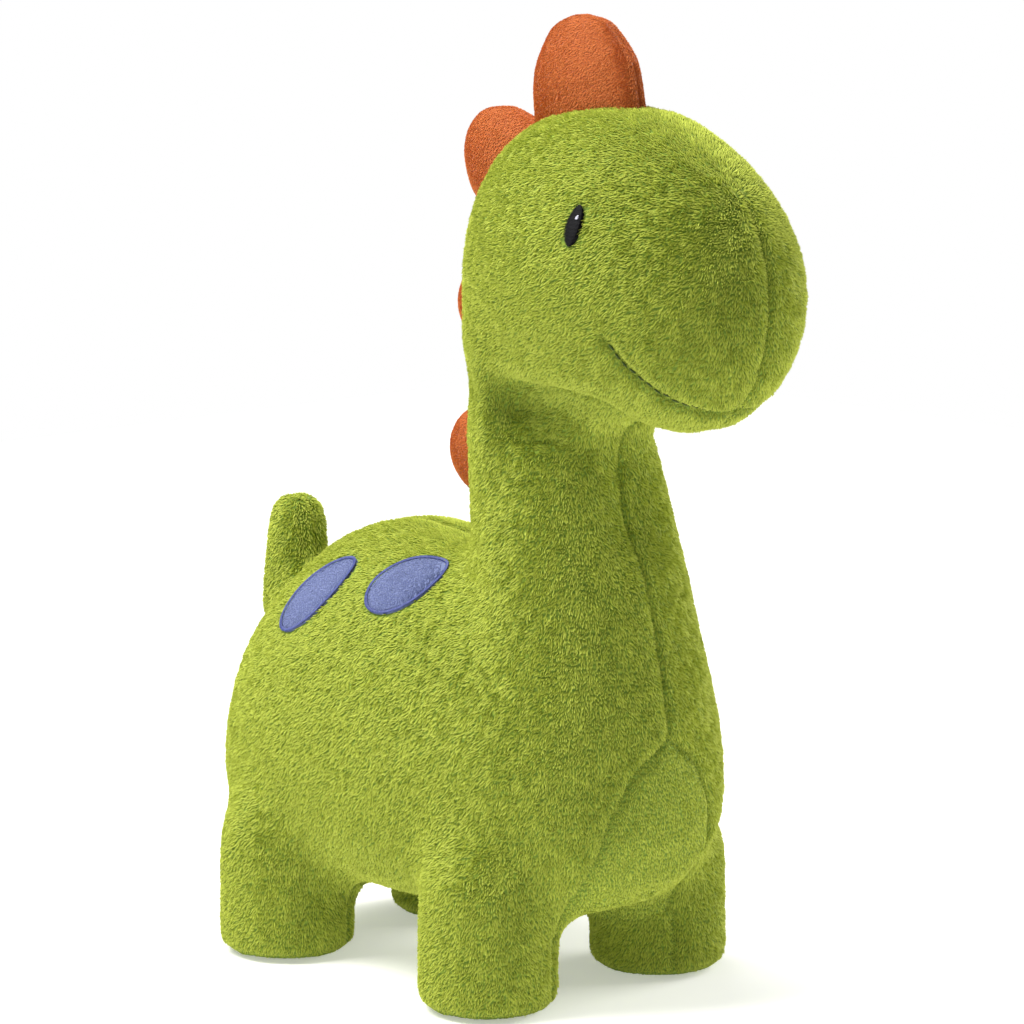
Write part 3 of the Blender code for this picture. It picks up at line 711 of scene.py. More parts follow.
def painted_jaw_shade(points):
    """1 in the open, less under the jaw: painted shade that darkens the pile's colour where little light falls."""
    under = on_both_sides([(x, y, z - 8) for x, y, z in JAW])
    gap = np.minimum(*(line_distance(points, line) for line in under))
    return 1.0 - 0.8 * np.exp(-((gap / (10 * MM)) ** 2))


def nap_way(points):
    """The way the pile is brushed: down the flanks and neck, back over the head and the back."""
    way = np.tile((0.0, 0.45, -1.0), (len(points), 1))
    on_head = ramp_up(past(points, "head"), 0.0, 20 * MM)[:, None]
    return way * (1 - on_head) + np.array((0.0, 0.9, -0.8)) * on_head


for name, panel in panels.items():
    points = points_of(panel)
    make_bed(panel, grow_map(points), parting_and_painted_shade(points), painted_jaw_shade(points), nap_way(points))

# %% The pile's node tree
TUFT_LENGTH, TUFT_WIDTH = 1.5 * MM, 0.78 * MM
TUFTS_PER_M2 = 2.45e6
SOFTNESS = 2.2                # how far a tuft's shading follows the skin under it rather than its own faces


def pile_tree():
    """Tufts over a surface: slim three-sided spikes along the nap."""
    tree = bpy.data.node_groups.new("plush_pile", "GeometryNodeTree")
    face = tree.interface
    face.new_socket("Geometry", in_out="INPUT", socket_type="NodeSocketGeometry")
    for name, value in (("Density", TUFTS_PER_M2), ("Length", TUFT_LENGTH), ("Width", TUFT_WIDTH),
                        ("Lay", 1.15), ("Clump", 0.55), ("Clump Size", 3.6 * MM)):
        face.new_socket(name, in_out="INPUT", socket_type="NodeSocketFloat").default_value = value
    face.new_socket("Seed", in_out="INPUT", socket_type="NodeSocketInt").default_value = 1
    face.new_socket("Material", in_out="INPUT", socket_type="NodeSocketMaterial")
    face.new_socket("Geometry", in_out="OUTPUT", socket_type="NodeSocketGeometry")

    def put(kind, settings=None, values=None, links=None):
        return add_node(tree, kind, settings, values, links)

    def math_of(operation, a, b):
        node = put("ShaderNodeMath", {"operation": operation})
        for socket, value in zip(node.inputs, (a, b)):
            if isinstance(value, (int, float)):
                socket.default_value = value
            else:
                tree.links.new(value, socket)
        return node.outputs[0]

    def vector_of(operation, a, b=None, scale=None):
        node = put("ShaderNodeVectorMath", {"operation": operation})
        for socket, value in zip(node.inputs, (a, b)):
            if isinstance(value, tuple):
                socket.default_value = value
            elif value is not None:
                tree.links.new(value, socket)
        if scale is not None:
            if isinstance(scale, (int, float)):
                node.inputs["Scale"].default_value = scale
            else:
                tree.links.new(scale, node.inputs["Scale"])
        return node.outputs["Value" if operation == "DOT_PRODUCT" else "Vector"]

    def stored(name, kind="FLOAT"):
        return put("GeometryNodeInputNamedAttribute", {"data_type": kind}, {"Name": name}).outputs["Attribute"]

    def random_of(low, high, seed_shift, kind="FLOAT"):
        node = put("FunctionNodeRandomValue", {"data_type": kind})
        ports = [s for s in node.inputs if s.enabled]
        ports[0].default_value, ports[1].default_value = low, high
        tree.links.new(math_of("ADD", given.outputs["Seed"], seed_shift), node.inputs["Seed"])
        return next(s for s in node.outputs if s.enabled)

    given = put("NodeGroupInput")
    scatter = put("GeometryNodeDistributePointsOnFaces", {"distribute_method": "RANDOM"},
                  links={"Mesh": given.outputs["Geometry"], "Seed": given.outputs["Seed"],
                         "Density": math_of("MULTIPLY", given.outputs["Density"], stored("grows"))})
    outward = scatter.outputs["Normal"]
    keep = put("GeometryNodeStoreNamedAttribute", {"data_type": "FLOAT_VECTOR", "domain": "POINT"},
               {"Name": "skin_normal"}, {"Geometry": scatter.outputs["Points"], "Value": outward})

    place = put("GeometryNodeInputPosition").outputs[0]
    fineness = math_of("DIVIDE", 1.0, given.outputs["Clump Size"])
    clumps = put("ShaderNodeTexNoise", {"noise_dimensions": "3D"}, {"Detail": 2.0, "Roughness": 0.6},
                 {"Vector": place, "Scale": fineness})
    lean = vector_of("SUBTRACT", clumps.outputs["Color"], (0.5, 0.5, 0.5))
    nap = stored("nap", "FLOAT_VECTOR")
    flat_nap = vector_of("SUBTRACT", nap, vector_of("SCALE", outward, scale=vector_of("DOT_PRODUCT", nap, outward)))
    flat_nap = vector_of("SCALE", vector_of("NORMALIZE", flat_nap), scale=given.outputs["Lay"])
    way = vector_of("ADD", outward, flat_nap)
    way = vector_of("ADD", way, vector_of("SCALE", lean, scale=math_of("MULTIPLY", given.outputs["Clump"], 6.0)))
    way = vector_of("ADD", way, random_of((-0.28, -0.28, -0.28), (0.28, 0.28, 0.28), 11, "FLOAT_VECTOR"))
    turn = put("FunctionNodeAlignRotationToVector", {"axis": "Z"}, links={"Vector": way})

    parting_and_shade = math_of("ADD", 0.45, math_of("MULTIPLY", stored("parting_and_shade"), 0.55))
    tall = math_of("ADD", 0.62, math_of("MULTIPLY", clumps.outputs["Fac"], 0.76))
    tall = math_of("MULTIPLY", math_of("MULTIPLY", tall, parting_and_shade), random_of(0.78, 1.22, 23))
    tall = math_of("MULTIPLY", tall, given.outputs["Length"])
    wide = math_of("MULTIPLY", given.outputs["Width"], random_of(0.75, 1.25, 37))
    size = put("ShaderNodeCombineXYZ", links={"X": wide, "Y": wide, "Z": tall}).outputs[0]

    spike = put("GeometryNodeMeshCone", {"fill_type": "NGON"},
                {"Vertices": 3, "Side Segments": 1, "Fill Segments": 1, "Radius Top": 0.0, "Radius Bottom": 0.5,
                 "Depth": 1.0})
    spike = put("GeometryNodeTransform", {}, {"Translation": (0.0, 0.0, -0.08)},
                {"Geometry": spike.outputs["Mesh"]})
    spike = put("GeometryNodeStoreNamedAttribute", {"data_type": "FLOAT_VECTOR", "domain": "POINT"},
                {"Name": "along"}, {"Geometry": spike.outputs["Geometry"], "Value": place})
    shade = math_of("ADD", math_of("MULTIPLY", clumps.outputs["Fac"], 0.7), random_of(-0.14, 0.44, 51))
    # Painted shade: the tint darkens along seams, creases and the smile.
    shade = math_of("MULTIPLY", shade, math_of("ADD", 0.25, math_of("MULTIPLY", stored("parting_and_shade"), 0.75)))
    # Painted shade: the tint darkens under the jaw.
    shade = math_of("MULTIPLY", shade, stored("open"))
    keep = put("GeometryNodeStoreNamedAttribute", {"data_type": "FLOAT", "domain": "POINT"}, {"Name": "shade"},
               {"Geometry": keep.outputs["Geometry"], "Value": shade})
    tufts = put("GeometryNodeInstanceOnPoints", {}, {},
                {"Points": keep.outputs["Geometry"], "Instance": spike.outputs["Geometry"],
                 "Rotation": turn.outputs["Rotation"], "Scale": size})
    real = put("GeometryNodeRealizeInstances", links={"Geometry": tufts.outputs["Instances"]})
    own = put("GeometryNodeInputNormal").outputs["Normal"]
    soft = vector_of("ADD", vector_of("SCALE", stored("skin_normal", "FLOAT_VECTOR"), scale=SOFTNESS), own)
    real = put("GeometryNodeSetMeshNormal", {"mode": "FREE", "domain": "POINT"}, {},
               {"Mesh": real.outputs["Geometry"], "Custom Normal": vector_of("NORMALIZE", soft)})
    along = put("ShaderNodeSeparateXYZ", links={"Vector": stored("along", "FLOAT_VECTOR")})
    across = math_of("ADD", math_of("MULTIPLY", stored("shade"), 0.9), math_of("MULTIPLY", along.outputs["X"], 0.03))
    across = put("ShaderNodeClamp", {}, {"Min": 0.03, "Max": 0.97}, {"Value": math_of("ADD", across, 0.05)})
    across = math_of("ADD", across.outputs[0], math_of("MULTIPLY", along.outputs["Y"], 0.02))
    palette = put("ShaderNodeCombineXYZ", links={"X": across, "Y": math_of("ADD", along.outputs["Z"], 0.09)})
    mapped = put("GeometryNodeStoreNamedAttribute", {"data_type": "FLOAT2", "domain": "CORNER"},
                 {"Name": "PileMap"}, {"Geometry": real.outputs["Mesh"], "Value": palette.outputs[0]})
    dressed = put("GeometryNodeSetMaterial", {}, {},
                  {"Geometry": mapped.outputs["Geometry"], "Material": given.outputs["Material"]})
    put("NodeGroupOutput", links={"Geometry": dressed.outputs["Geometry"]})
    return tree


PILE = pile_tree()
SOCKETS = {item.name: item.identifier for item in PILE.interface.items_tree if item.in_out == "INPUT"}
print("pile tree with", len(PILE.nodes), "nodes")

# %% [markdown]
# The pile's colour runs from deep green at the root to yellow green at the tip, and varies from tuft to tuft. The
# darker root is partly the fibre's colour and partly painted shade deep in the pile, and the dim tint also carries
# painted shade along seams and creases and under the jaw.
# Both come from the tuft's own map: across it is the tuft's tint, up it is the height in the tuft. Polyester
# fibre is matt with a soft bloom at grazing angles, which is what the sheen gives.

# %% The green plush


def pile_material(name, deep, mid, lit, dark_deep, dark_lit, sheen=0.6):
    """Fibre seen along its own map: a bright tuft from deep to lit, a dim one from dark_deep to dark_lit; darker roots
    and the dim end hold painted shade as well as the fibre's tone.
    """
    material, tree, shader = new_material(name, Roughness=0.72, Sheen_Weight=sheen, Sheen_Roughness=0.45,
                                          Sheen_Tint=colour(lit), Specular_IOR_Level=0.25)
    where = add_node(tree, "ShaderNodeUVMap", {"uv_map": "PileMap"})
    split_map = add_node(tree, "ShaderNodeSeparateXYZ", links={"Vector": where.outputs["UV"]})
    bright = add_ramp(tree, split_map.outputs["Y"], [(0.0, deep), (0.5, mid), (1.0, lit)])
    dim = add_ramp(tree, split_map.outputs["Y"], [(0.0, dark_deep), (1.0, dark_lit)])
    blend = add_node(tree, "ShaderNodeMix", {"data_type": "RGBA"}, {}, {"Factor": split_map.outputs["X"]})
    tree.links.new(dim, blend.inputs["A"])
    tree.links.new(bright, blend.inputs["B"])
    tree.links.new(next(s for s in blend.outputs if s.enabled), shader.inputs["Base Color"])
    return material


GREEN_PILE = pile_material("polyester_plush_pile", PLUSH_DEEP, PLUSH_MID, PLUSH_LIT, "#5f7422", "#a9b53c", 0.35)
backing, backing_tree, backing_shader = new_material("knitted_plush_backing", Roughness=0.95)
threads = add_node(backing_tree, "ShaderNodeTexCoord").outputs["Object"]
knit = add_node(backing_tree, "ShaderNodeTexWave", {"wave_type": "BANDS", "bands_direction": "Z"},
                {"Scale": 160.0, "Distortion": 3.0, "Detail": 1.0}, {"Vector": threads})
backing_tree.links.new(add_ramp(backing_tree, knit.outputs["Fac"], [(0.0, "#66802a"), (1.0, "#8ba238")]),
                       backing_shader.inputs["Base Color"])

# %% Grow the pile on every panel
SOLE_FLOOR = 0.25 * MM
SOLE_PILE = 20 * MM           # radius of the pile under a foot, clear of its edge


def grow(panel, name, seed, density, length, width, lay, clump=0.55, material=GREEN_PILE):
    """The tufts over one panel, as a plain mesh."""
    bed = bpy.data.objects.new(name, panel.data)
    bpy.context.scene.collection.objects.link(bed)
    nodes = bed.modifiers.new("pile", "NODES")
    nodes.node_group = PILE
    chosen = {"Density": density, "Length": length, "Width": width, "Lay": lay, "Clump": clump, "Seed": seed,
              "Material": material}
    for key, value in chosen.items():
        nodes[SOCKETS[key]] = value
    pile = baked(bed, name)
    points = points_of(pile)
    points[:, 2] = np.maximum(points[:, 2], SOLE_FLOOR)
    set_points(pile, points)
    drop_values(pile, "along", "shade", "skin_normal", "nap", "grows", "parting_and_shade", "open")
    copy_map = pile.data.uv_layers.new(name="OFBake")
    flat = np.zeros(len(pile.data.loops) * 2, np.float32)
    pile.data.uv_layers["PileMap"].data.foreach_get("uv", flat)
    copy_map.data.foreach_set("uv", flat)
    return pile


piles = {}
for number, (name, panel) in enumerate(sorted(panels.items())):
    length, density, lay, clump = 1.0, 1.0, 1.3, 0.55
    if name == "belly_gusset":
        length, density, lay = 0.75, 0.9, 1.9
    if name.endswith("_sole"):
        length, density, lay, clump = 0.5, 0.8, 4.0, 0.1
        off = points_of(panel) - PIVOT[name.removesuffix("_sole")]
        inside = np.hypot(off[:, 0], off[:, 1]) < SOLE_PILE
        panel.data.attributes["grows"].data.foreach_set("value", inside.astype(np.float32))
    chosen = (TUFTS_PER_M2 * density, TUFT_LENGTH * length, TUFT_WIDTH, lay, clump)
    if name.startswith("body_side"):
        grows, front = grow_map(points_of(panel)), points_of(panel)[:, 1] < 15 * MM
        for seed, part, mine in ((100, "chest", front), (150, "rump", ~front)):
            panel.data.attributes["grows"].data.foreach_set("value", (grows * mine).astype(np.float32))
            piles.setdefault(name, []).append(grow(panel, f"{name}_{part}_pile", seed + number, *chosen))
    else:
        piles[name] = [grow(panel, name + "_pile", 100 + number, *chosen)]
all_piles = [pile for group in piles.values() for pile in group]
print("pile in all:", sum(len(p.data.polygons) for p in all_piles), "faces; most in one piece:",
      max(len(p.data.polygons) for p in all_piles))

# %% [markdown]
# ## Close the panels
# A panel of cloth has a thickness. Each cut panel now gets a backing that goes inwards, which also closes it.

# %% Give the panels their thickness
for name, panel in panels.items():
    thick = panel.modifiers.new("backing", "SOLIDIFY")
    thick.thickness, thick.offset = BACKING, -1.0
    panel.data.materials.clear()
    panel.data.materials.append(backing)
    panels[name] = baked(panel, name + "_plush")
print("panels closed:", sum(len(p.data.polygons) for p in panels.values()), "faces")

# %% [markdown]
# ## Velour scales
# The scales down the back are small stuffed shapes of velour, a knit with a very short sheared pile. Each is
# sewn from two halves, so a seam runs round its rim. They are made as the body was: hull, one skin, stuffing
# between the pinned seam, and two closed halves. The short pile is the same node tree with small tufts.

# %% Velour
# Root to tip as on the green plush: the darker root is partly painted shade.
ORANGE = pile_material("orange_velour_pile", "#b0531e", "#cb6c2b", "#eaa468", "#a64c1c", "#c8682a")
BLUE = pile_material("periwinkle_velour_pile", "#576192", "#7581ae", "#a4adcd", "#505a88", "#6d79a4")
VELOUR_PILE, VELOUR_WIDTH, VELOUR_DENSITY = 0.75 * MM, 0.6 * MM, 5.0e6


def velour_backing(name, low, high):
    """The knit under a velour's pile: fine wales about half a millimetre apart."""
    material, tree, shader = new_material(name, Roughness=0.9, Sheen_Weight=0.3)
    place = add_node(tree, "ShaderNodeTexCoord").outputs["Object"]
    grain = add_node(tree, "ShaderNodeTexNoise", {}, {"Scale": 900.0, "Detail": 3.0}, {"Vector": place})
    tree.links.new(add_ramp(tree, grain.outputs["Fac"], [(0.3, low), (0.7, high)]), shader.inputs["Base Color"])
    return material


ORANGE_KNIT = velour_backing("orange_velour_knit", "#a04c20", "#b8602c")
BLUE_KNIT = velour_backing("periwinkle_velour_knit", "#5f6a98", "#737faa")
SCALES = {"crown_scale": "head", "back_head_scale": "head", "nape_scale": "head", "neck_scale": "neck"}
SWELL = {                     # how the stuffing changes a scale: shift back and up in mm, growth, fuller top
    "crown_scale": (0.0, -0.3, 1.08, 0.12),
    "back_head_scale": (0.5, 2.8, 1.08, 0.0),
    "nape_scale": (4.0, 0.0, 1.05, 0.0),
    "neck_scale": (3.5, 3.0, 1.12, 0.0),
}
SCALE_VOXEL, SCALE_ROUNDS = 1.5 * MM, 22
SCALE_CAP = 1.8 * MM
RIM_GROOVE = 1.1 * MM         # depth and reach of the groove along a scale's seam
SEWN_IN = 2.5 * MM            # how far a scale's foot reaches into the skin
FOOT_HIGH = 12 * MM           # the part of a scale that is drawn down with its foot


def rooted(points):
    """Draws a scale's foot down into the skin along its own standing direction; its top stays."""
    _, outwards, _, _ = SKIN_TREE.find_nearest(Vector(points.mean(0)))
    outwards = Vector((0, outwards.y, outwards.z)).normalized()
    height = points @ np.array(outwards)
    share = 1 - ramp_up(height - height.min(), 1.0 * MM, FOOT_HIGH)
    for i in np.flatnonzero(share > 0):
        place = SKIN_TREE.ray_cast(Vector(points[i]) + outwards * 15 * MM, -outwards)[0]
        if place is not None:
            gap = (Vector(points[i]) - place).dot(outwards) + SEWN_IN
            points[i] -= np.array(outwards) * max(gap, 0.0) * share[i]
    return points


# %% Make the scales
scale_halves, scale_piles = {}, {}
for number, name in enumerate(SCALES):
    solids = [f"{name}_{word}" for word in ("right_cloth", "left_cloth", "filling")]
    scale = remeshed(as_object(name, hull_of(*solids)), SCALE_VOXEL, name)
    smooth(scale, np.full(len(scale.data.vertices), 0.5), SCALE_ROUNDS)
    back, up, growth, fuller = SWELL[name]
    points = points_of(scale)
    low, high = points.min(0), points.max(0)
    middle = (low + high) / 2
    climb = (points[:, 2] - low[2]) / (high[2] - low[2])
    points = middle + (points - middle) * growth
    points[:, 1] = middle[1] + (points[:, 1] - middle[1]) * (1 + fuller * climb**2)
    set_points(scale, points + np.array((0, back, up)) * MM)
    rim = 1.0 - ramp_up(np.abs(points_of(scale)[:, 0]), 0.8 * MM, 3.0 * MM)
    scale = stuff(scale, rim, 5.0, SCALE_CAP)
    scale = made_finer(scale, name)
    points = points_of(scale)
    points = press(points, normals_of(scale), points[:, 0], RIM_GROOVE, RIM_GROOVE)
    set_points(scale, rooted(points))
    bm = bmesh.new()
    bm.from_mesh(scale.data)
    split(bm, (0, 0, 0), (1, 0, 0), lambda c: True)
    bpy.data.objects.remove(scale, do_unlink=True)
    for word, side in SIDES:
        half = bm.copy()
        gone = [face for face in half.faces if face.calc_center_median().x * side < 0]
        bmesh.ops.delete(half, geom=gone, context="FACES")
        half = as_object(f"{name}_{word}", half)
        half.data.shade_smooth()
        points = points_of(half)
        ones = np.ones(len(points))
        # Painted shade: by the rim seam the velour pile is shorter and its colour darker.
        rim = 1.0 - np.exp(-((points[:, 0] / (0.7 * MM)) ** 2))
        make_bed(half, ones, rim, ones, np.tile((0.0, 0.6, -1.0), (len(points), 1)))
        scale_piles[f"{name}_{word}"] = grow(half, f"{name}_{word}_pile", 200 + number, VELOUR_DENSITY,
                                             VELOUR_PILE, VELOUR_WIDTH, 1.6, 0.15, ORANGE)
        thick = half.modifiers.new("backing", "SOLIDIFY")
        thick.thickness, thick.offset = 1.0 * MM, -1.0
        half.data.materials.append(ORANGE_KNIT)
        scale_halves[f"{name}_{word}"] = baked(half, f"{name}_{word}_velour")
    bm.free()
print("scales:", sum(len(p.data.polygons) for p in scale_piles.values()), "faces of velour pile")

# %% [markdown]
# ## Stitches
# Embroidery is thread laid side by side. One node tree lays a stitch, a slim closed capsule, on every point it
# is given, along that point's own direction and at its own length. It serves the satin rims of the spots, the
# filled eyes, their glints and the mouth.

# %% The stitch tree


def stitch_tree():
    """A capsule of thread on each point: Across gives its direction, Outwards its flat side, Reach its length."""
    tree = bpy.data.node_groups.new("laid_stitches", "GeometryNodeTree")
    face = tree.interface
    face.new_socket("Geometry", in_out="INPUT", socket_type="NodeSocketGeometry")
    face.new_socket("Thread Width", in_out="INPUT", socket_type="NodeSocketFloat").default_value = 0.5 * MM
    face.new_socket("Material", in_out="INPUT", socket_type="NodeSocketMaterial")
    face.new_socket("Geometry", in_out="OUTPUT", socket_type="NodeSocketGeometry")
    given = add_node(tree, "NodeGroupInput")
    across, outwards = (add_node(tree, "GeometryNodeInputNamedAttribute", {"data_type": "FLOAT_VECTOR"},
                                 {"Name": name}).outputs["Attribute"] for name in ("across", "outwards"))
    reach = add_node(tree, "GeometryNodeInputNamedAttribute", {"data_type": "FLOAT"}, {"Name": "reach"})
    turn = add_node(tree, "FunctionNodeAxesToRotation", {"primary_axis": "X", "secondary_axis": "Z"}, {},
                    {"Primary Axis": across, "Secondary Axis": outwards})
    size = add_node(tree, "ShaderNodeCombineXYZ", {}, {},
                    {"X": reach.outputs["Attribute"], "Y": given.outputs["Thread Width"],
                     "Z": given.outputs["Thread Width"]})
    thread = add_node(tree, "GeometryNodeMeshUVSphere", {}, {"Segments": 6, "Rings": 5, "Radius": 0.5})
    thread = add_node(tree, "GeometryNodeTransform", {}, {"Rotation": (0.0, math.pi / 2, 0.0)},
                      {"Geometry": thread.outputs["Mesh"]})
    laid = add_node(tree, "GeometryNodeInstanceOnPoints", {}, {},
                    {"Points": given.outputs["Geometry"], "Instance": thread.outputs["Geometry"],
                     "Rotation": turn.outputs["Rotation"], "Scale": size.outputs[0]})
    real = add_node(tree, "GeometryNodeRealizeInstances", {}, {}, {"Geometry": laid.outputs["Instances"]})
    dressed = add_node(tree, "GeometryNodeSetMaterial", {}, {},
                       {"Geometry": real.outputs["Geometry"], "Material": given.outputs["Material"]})
    add_node(tree, "NodeGroupOutput", {}, {}, {"Geometry": dressed.outputs["Geometry"]})
    return tree


STITCHES = stitch_tree()
STITCH_SOCKETS = {item.name: item.identifier for item in STITCHES.interface.items_tree if item.in_out == "INPUT"}


def lay_stitches(name, stitches, width, material):
    """Stitches from (place, across, outwards, length) as one plain mesh."""
    bm = bmesh.new()
    for place, _, _, _ in stitches:
        bm.verts.new(place)
    bed = as_object(name, bm)
    add_values(bed, "across", [tuple(s[1]) for s in stitches], "FLOAT_VECTOR")
    add_values(bed, "outwards", [tuple(s[2]) for s in stitches], "FLOAT_VECTOR")
    add_values(bed, "reach", [s[3] for s in stitches])
    nodes = bed.modifiers.new("stitches", "NODES")
    nodes.node_group = STITCHES
    nodes[STITCH_SOCKETS["Thread Width"]], nodes[STITCH_SOCKETS["Material"]] = width, material
    result = baked(bed, name)
    result.data.shade_smooth()
    drop_values(result, "across", "outwards", "reach")
    return result


# %% Thread
def thread_material(name, low, high, roughness, shine=0.35):
    """Rayon embroidery thread: smooth and lustrous, with a fine twist that varies its colour."""
    material, tree, shader = new_material(name, Roughness=roughness, Specular_IOR_Level=shine)
    place = add_node(tree, "ShaderNodeTexCoord").outputs["Object"]
    twist = add_node(tree, "ShaderNodeTexNoise", {}, {"Scale": 1400.0, "Detail": 2.0}, {"Vector": place})
    tree.links.new(add_ramp(tree, twist.outputs["Fac"], [(0.35, low), (0.65, high)]), shader.inputs["Base Color"])
    return material


INDIGO = thread_material("indigo_rayon_thread", "#39427c", "#525d9a", 0.42)
BLACK = thread_material("black_rayon_thread", "#020203", "#0a0910", 0.55, 0.15)
WHITE = thread_material("white_rayon_thread", "#c4c4d6", "#e8e8f4", 0.4)
OLIVE = thread_material("olive_polyester_thread", "#2e3d0e", "#475a1a", 0.6)

# %% [markdown]
# ## Spots
# A spot is a leaf-shaped patch of periwinkle velour, held down by a satin stitch in indigo round its edge:
# hundreds of short threads side by side, each across the edge.

# %% Sew the spots on
SPOT_RISE, RIM_WIDTH = 1.3 * MM, 1.4 * MM
RIM_PITCH, RIM_THREAD = 0.36 * MM, 0.5 * MM
AROUND = 64                   # points round a padded oval
RIM_POINTS = 720              # points round a rim, close enough to walk along
UNDER = 0.9 * MM              # how far a padded oval reaches into the skin


def padded_oval(name, patch, rise, rings, material):
    """A low dome over a patch, closed below: rings are shares of its radius."""
    bm = bmesh.new()

    def ring(share, lift):
        angles = [2 * math.pi * k / AROUND for k in range(AROUND)]
        return [bm.verts.new(patch.lay(patch.flat(share, angle), lift)) for angle in angles]

    top = bm.verts.new(patch.lay(patch.flat(0, 0), rise))
    loops = [ring(share, rise * (1 - share**6)) for share in rings] + [ring(0.96, -UNDER)]
    foot = bm.verts.new(patch.lay(patch.flat(0, 0), -UNDER))
    for k in range(AROUND):
        j = (k + 1) % AROUND
        bm.faces.new((top, loops[0][k], loops[0][j]))
        bm.faces.new((foot, loops[-1][j], loops[-1][k]))
        for small, big in zip(loops, loops[1:]):
            bm.faces.new((small[k], big[k], big[j], small[j]))
    bmesh.ops.recalc_face_normals(bm, faces=bm.faces)
    item = as_object(name, bm)
    item.data.shade_smooth()
    item.data.materials.append(material)
    return item


def satin_rim(patch, width, pitch, lift):
    """Threads across the patch's edge, side by side all the way round."""
    outline = [patch.lay(patch.flat(1.0, 2 * math.pi * k / RIM_POINTS), lift) for k in range(RIM_POINTS)]
    stitches, walked = [], 0.0
    for here, following in zip(outline, outline[1:] + outline[:1]):
        walked += (following - here).length
        if walked >= pitch:
            walked -= pitch
            way = following - here
            middle = (patch.centre + patch.out * patch.out.dot(here - patch.centre)) - here
            slant = way.normalized() * 0.25
            inwards = (patch.out.cross(way)).normalized()
            inwards = inwards if inwards.dot(middle) > 0 else -inwards
            stitches.append((here + inwards * width * 0.3, inwards + slant, patch.out, width))
    return stitches


spot_patches, spot_piles, spot_rims = {}, {}, {}
for number, (name, patch) in enumerate(spots.items()):
    item = padded_oval(name + "_velour", patch, SPOT_RISE, (0.25, 0.5, 0.7, 0.85, 0.94, 1.0), BLUE_KNIT)
    points, normals = points_of(item), normals_of(item)
    inner = under_patch(points, patch, -RIM_WIDTH * 0.6) & (normals @ np.array(patch.out) > 0.3)
    ones = np.ones(len(points))
    make_bed(item, inner, ones, ones, np.tile((0.0, 0.3, -1.0), (len(points), 1)))
    spot_piles[name] = grow(item, name + "_pile", 300 + number, VELOUR_DENSITY, VELOUR_PILE * 0.9, VELOUR_WIDTH,
                            2.0, 0.15, BLUE)
    spot_patches[name] = item
    rim = satin_rim(patch, RIM_WIDTH, RIM_PITCH, SPOT_RISE * 0.75)
    spot_rims[name] = lay_stitches(name.replace("spot", "spot_stitching") + "_satin", rim, RIM_THREAD, INDIGO)
print("satin stitches on one spot:", len(rim))

# %% [markdown]
# ## Eyes
# Each eye is an oval of black satin stitch over a little padding, its threads running across it, with a
# glint of a few white threads near the top. Light plays on the threads, which a painted oval would not show.

# %% Embroider the eyes
EYE_RISE = 1.3 * MM
EYE_PITCH, EYE_THREAD, EYE_TILT = 0.42 * MM, 0.62 * MM, 0.22
GLINT_LONG, GLINT_WIDE, GLINT_PITCH, GLINT_THREAD = 1.9 * MM, 1.3 * MM, 0.45 * MM, 0.6 * MM
eye_pieces, glint_pieces = {}, {}


def filled_oval(patch, length, width, centre, pitch, lift, tilt):
    """Threads side by side across an oval, from its top to its bottom."""
    stitches = []
    rows = int(length / pitch)
    for row in range(rows):
        share = (row + 0.5) / rows * 2 - 1
        chord = width * math.sqrt(1 - share * share)
        place = patch.lay(centre + patch.up * share * length / 2, lift * (1 - 0.35 * share * share))
        stitches.append((place, patch.side + patch.up * tilt, patch.out, max(chord, 0.9 * MM)))
    return stitches


for word, _ in SIDES:
    patch = eyes[f"eye_{word}"]
    base = padded_oval("eye_padding", patch, EYE_RISE * 0.8, (0.3, 0.6, 0.8, 0.92), BLACK)
    threads = filled_oval(patch, EYE_LONG, EYE_WIDE, Vector(), EYE_PITCH, EYE_RISE, EYE_TILT)
    threads = lay_stitches("eye_threads", threads, EYE_THREAD, BLACK)
    bm = bmesh.new()
    bm.from_mesh(base.data)
    bm.from_mesh(threads.data)
    for used in (base, threads):
        bpy.data.objects.remove(used, do_unlink=True)
    eye_pieces[word] = as_object(f"eye_{word}_embroidery", bm)
    eye_pieces[word].data.materials.append(BLACK)
    eye_pieces[word].data.shade_smooth()
    forward = patch.side * (-1 if patch.side.y > 0 else 1)
    spot_at = forward * 0.9 * MM + patch.up * 2.4 * MM
    glint = filled_oval(patch, GLINT_LONG, GLINT_WIDE, spot_at, GLINT_PITCH, EYE_RISE + 0.30 * MM, EYE_TILT)
    glint_pieces[word] = lay_stitches(f"eye_glint_{word}_embroidery", glint, GLINT_THREAD, WHITE)
print("threads in an eye:", int(EYE_LONG / EYE_PITCH))
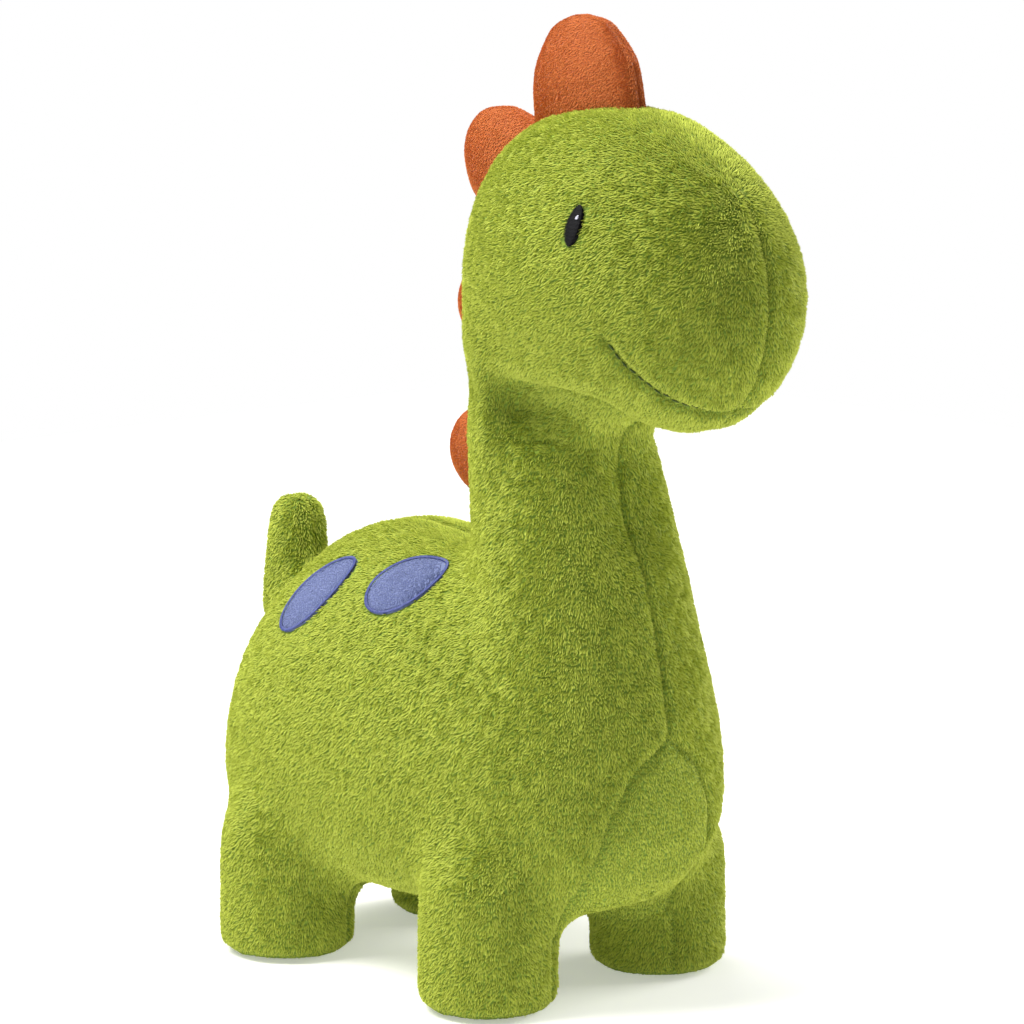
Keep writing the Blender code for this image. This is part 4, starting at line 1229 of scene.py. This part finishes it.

# %% [markdown]
# ## Mouth
# The smile is a crease held by a running stitch of dark olive thread, sunk in the pile, so that it shows as a soft dark
# line that fades towards the front; the pile along the crease is darkened by painted shade.

# %% Stitch the mouth
STITCH, GAP, MOUTH_THREAD = 2.8 * MM, 0.5 * MM, 0.7 * MM
WALK = 0.2 * MM               # step along the smile
right_half, left_half = mouth_lines
path = [Vector(point) for point in right_half] + [Vector(point) for point in left_half[-2::-1]]
fine = []
for start, end in zip(path, path[1:]):
    count = max(2, int((end - start).length / WALK))
    fine.extend(start.lerp(end, k / count) for k in range(count))
stitches, walked = [], 0.0
for here, following in zip(fine, fine[1:]):
    walked += (following - here).length
    if walked >= STITCH + GAP:
        walked = 0.0
        place, outwards, _, _ = SKIN_TREE.find_nearest(here)
        sunk = 0.75 - 0.9 * (1 - ramp_up(abs(here.x), 6 * MM, 26 * MM))
        stitches.append((place + outwards * sunk * MM, following - here, outwards, STITCH))
mouth = lay_stitches("mouth_running_stitch", stitches, MOUTH_THREAD, OLIVE)
print(len(stitches), "stitches in the mouth")

# %% [markdown]
# ## What moves with what
# The stuffed toy has no hard hinges: the cloth bends. Here the torso's panels and their pile ride on the torso, the
# spots on the body and the eyes on the head; the other panels and their pile, the scales and the mouth have their
# placement baked in and ride on no body.


def attach(piece, body):
    """A torso piece rides on the torso; any other has its placement baked into its mesh and rides on no body."""
    if body == "torso":
        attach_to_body(piece, body)
        return
    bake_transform(piece)


def attach_stiff(piece):
    """Bakes a small piece's placement into its mesh; it rides on no body."""
    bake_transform(piece)


def body_of(name):
    """The body that a panel belongs to, from the panel's name."""
    stem = name.split("_")[0].replace("body", "torso").replace("belly", "torso")
    return next((leg for leg in LEGS if name.startswith(leg)), stem)


for name, panel in panels.items():
    for piece in (panel, *piles[name]):
        attach(piece, body_of(name))
    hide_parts(name)
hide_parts("body_filling")
for body in ("neck", "head", "tail"):
    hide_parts(f"{body}_filling")
for leg in LEGS:
    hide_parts(f"{leg}_filling")
for name, half in scale_halves.items():
    stem, word = name.rsplit("_", 1)
    low, high = (np.array(corner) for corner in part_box(f"{stem}_filling"))
    for piece in (half, scale_piles[name]):
        attach_stiff(piece)
    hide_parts(f"{stem}_{word}_cloth", *([f"{stem}_filling"] if word == "right" else []))
for name in spots:
    for pieces, slot_name in ((spot_patches, "blue_velour"), (spot_piles, "blue_velour"), (spot_rims, "indigo_thread")):
        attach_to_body(pieces[name], "torso")
    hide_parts(name)
    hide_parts(name.replace("spot", "spot_stitching"))
for word, _ in SIDES:
    for pieces, stem, slot_name in ((eye_pieces, "eye", "black_thread"), (glint_pieces, "eye_glint", "white_thread")):
        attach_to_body(pieces[word], "head")
        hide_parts(f"{stem}_{word}")
attach(mouth, "head")
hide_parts("mouth_stitching")
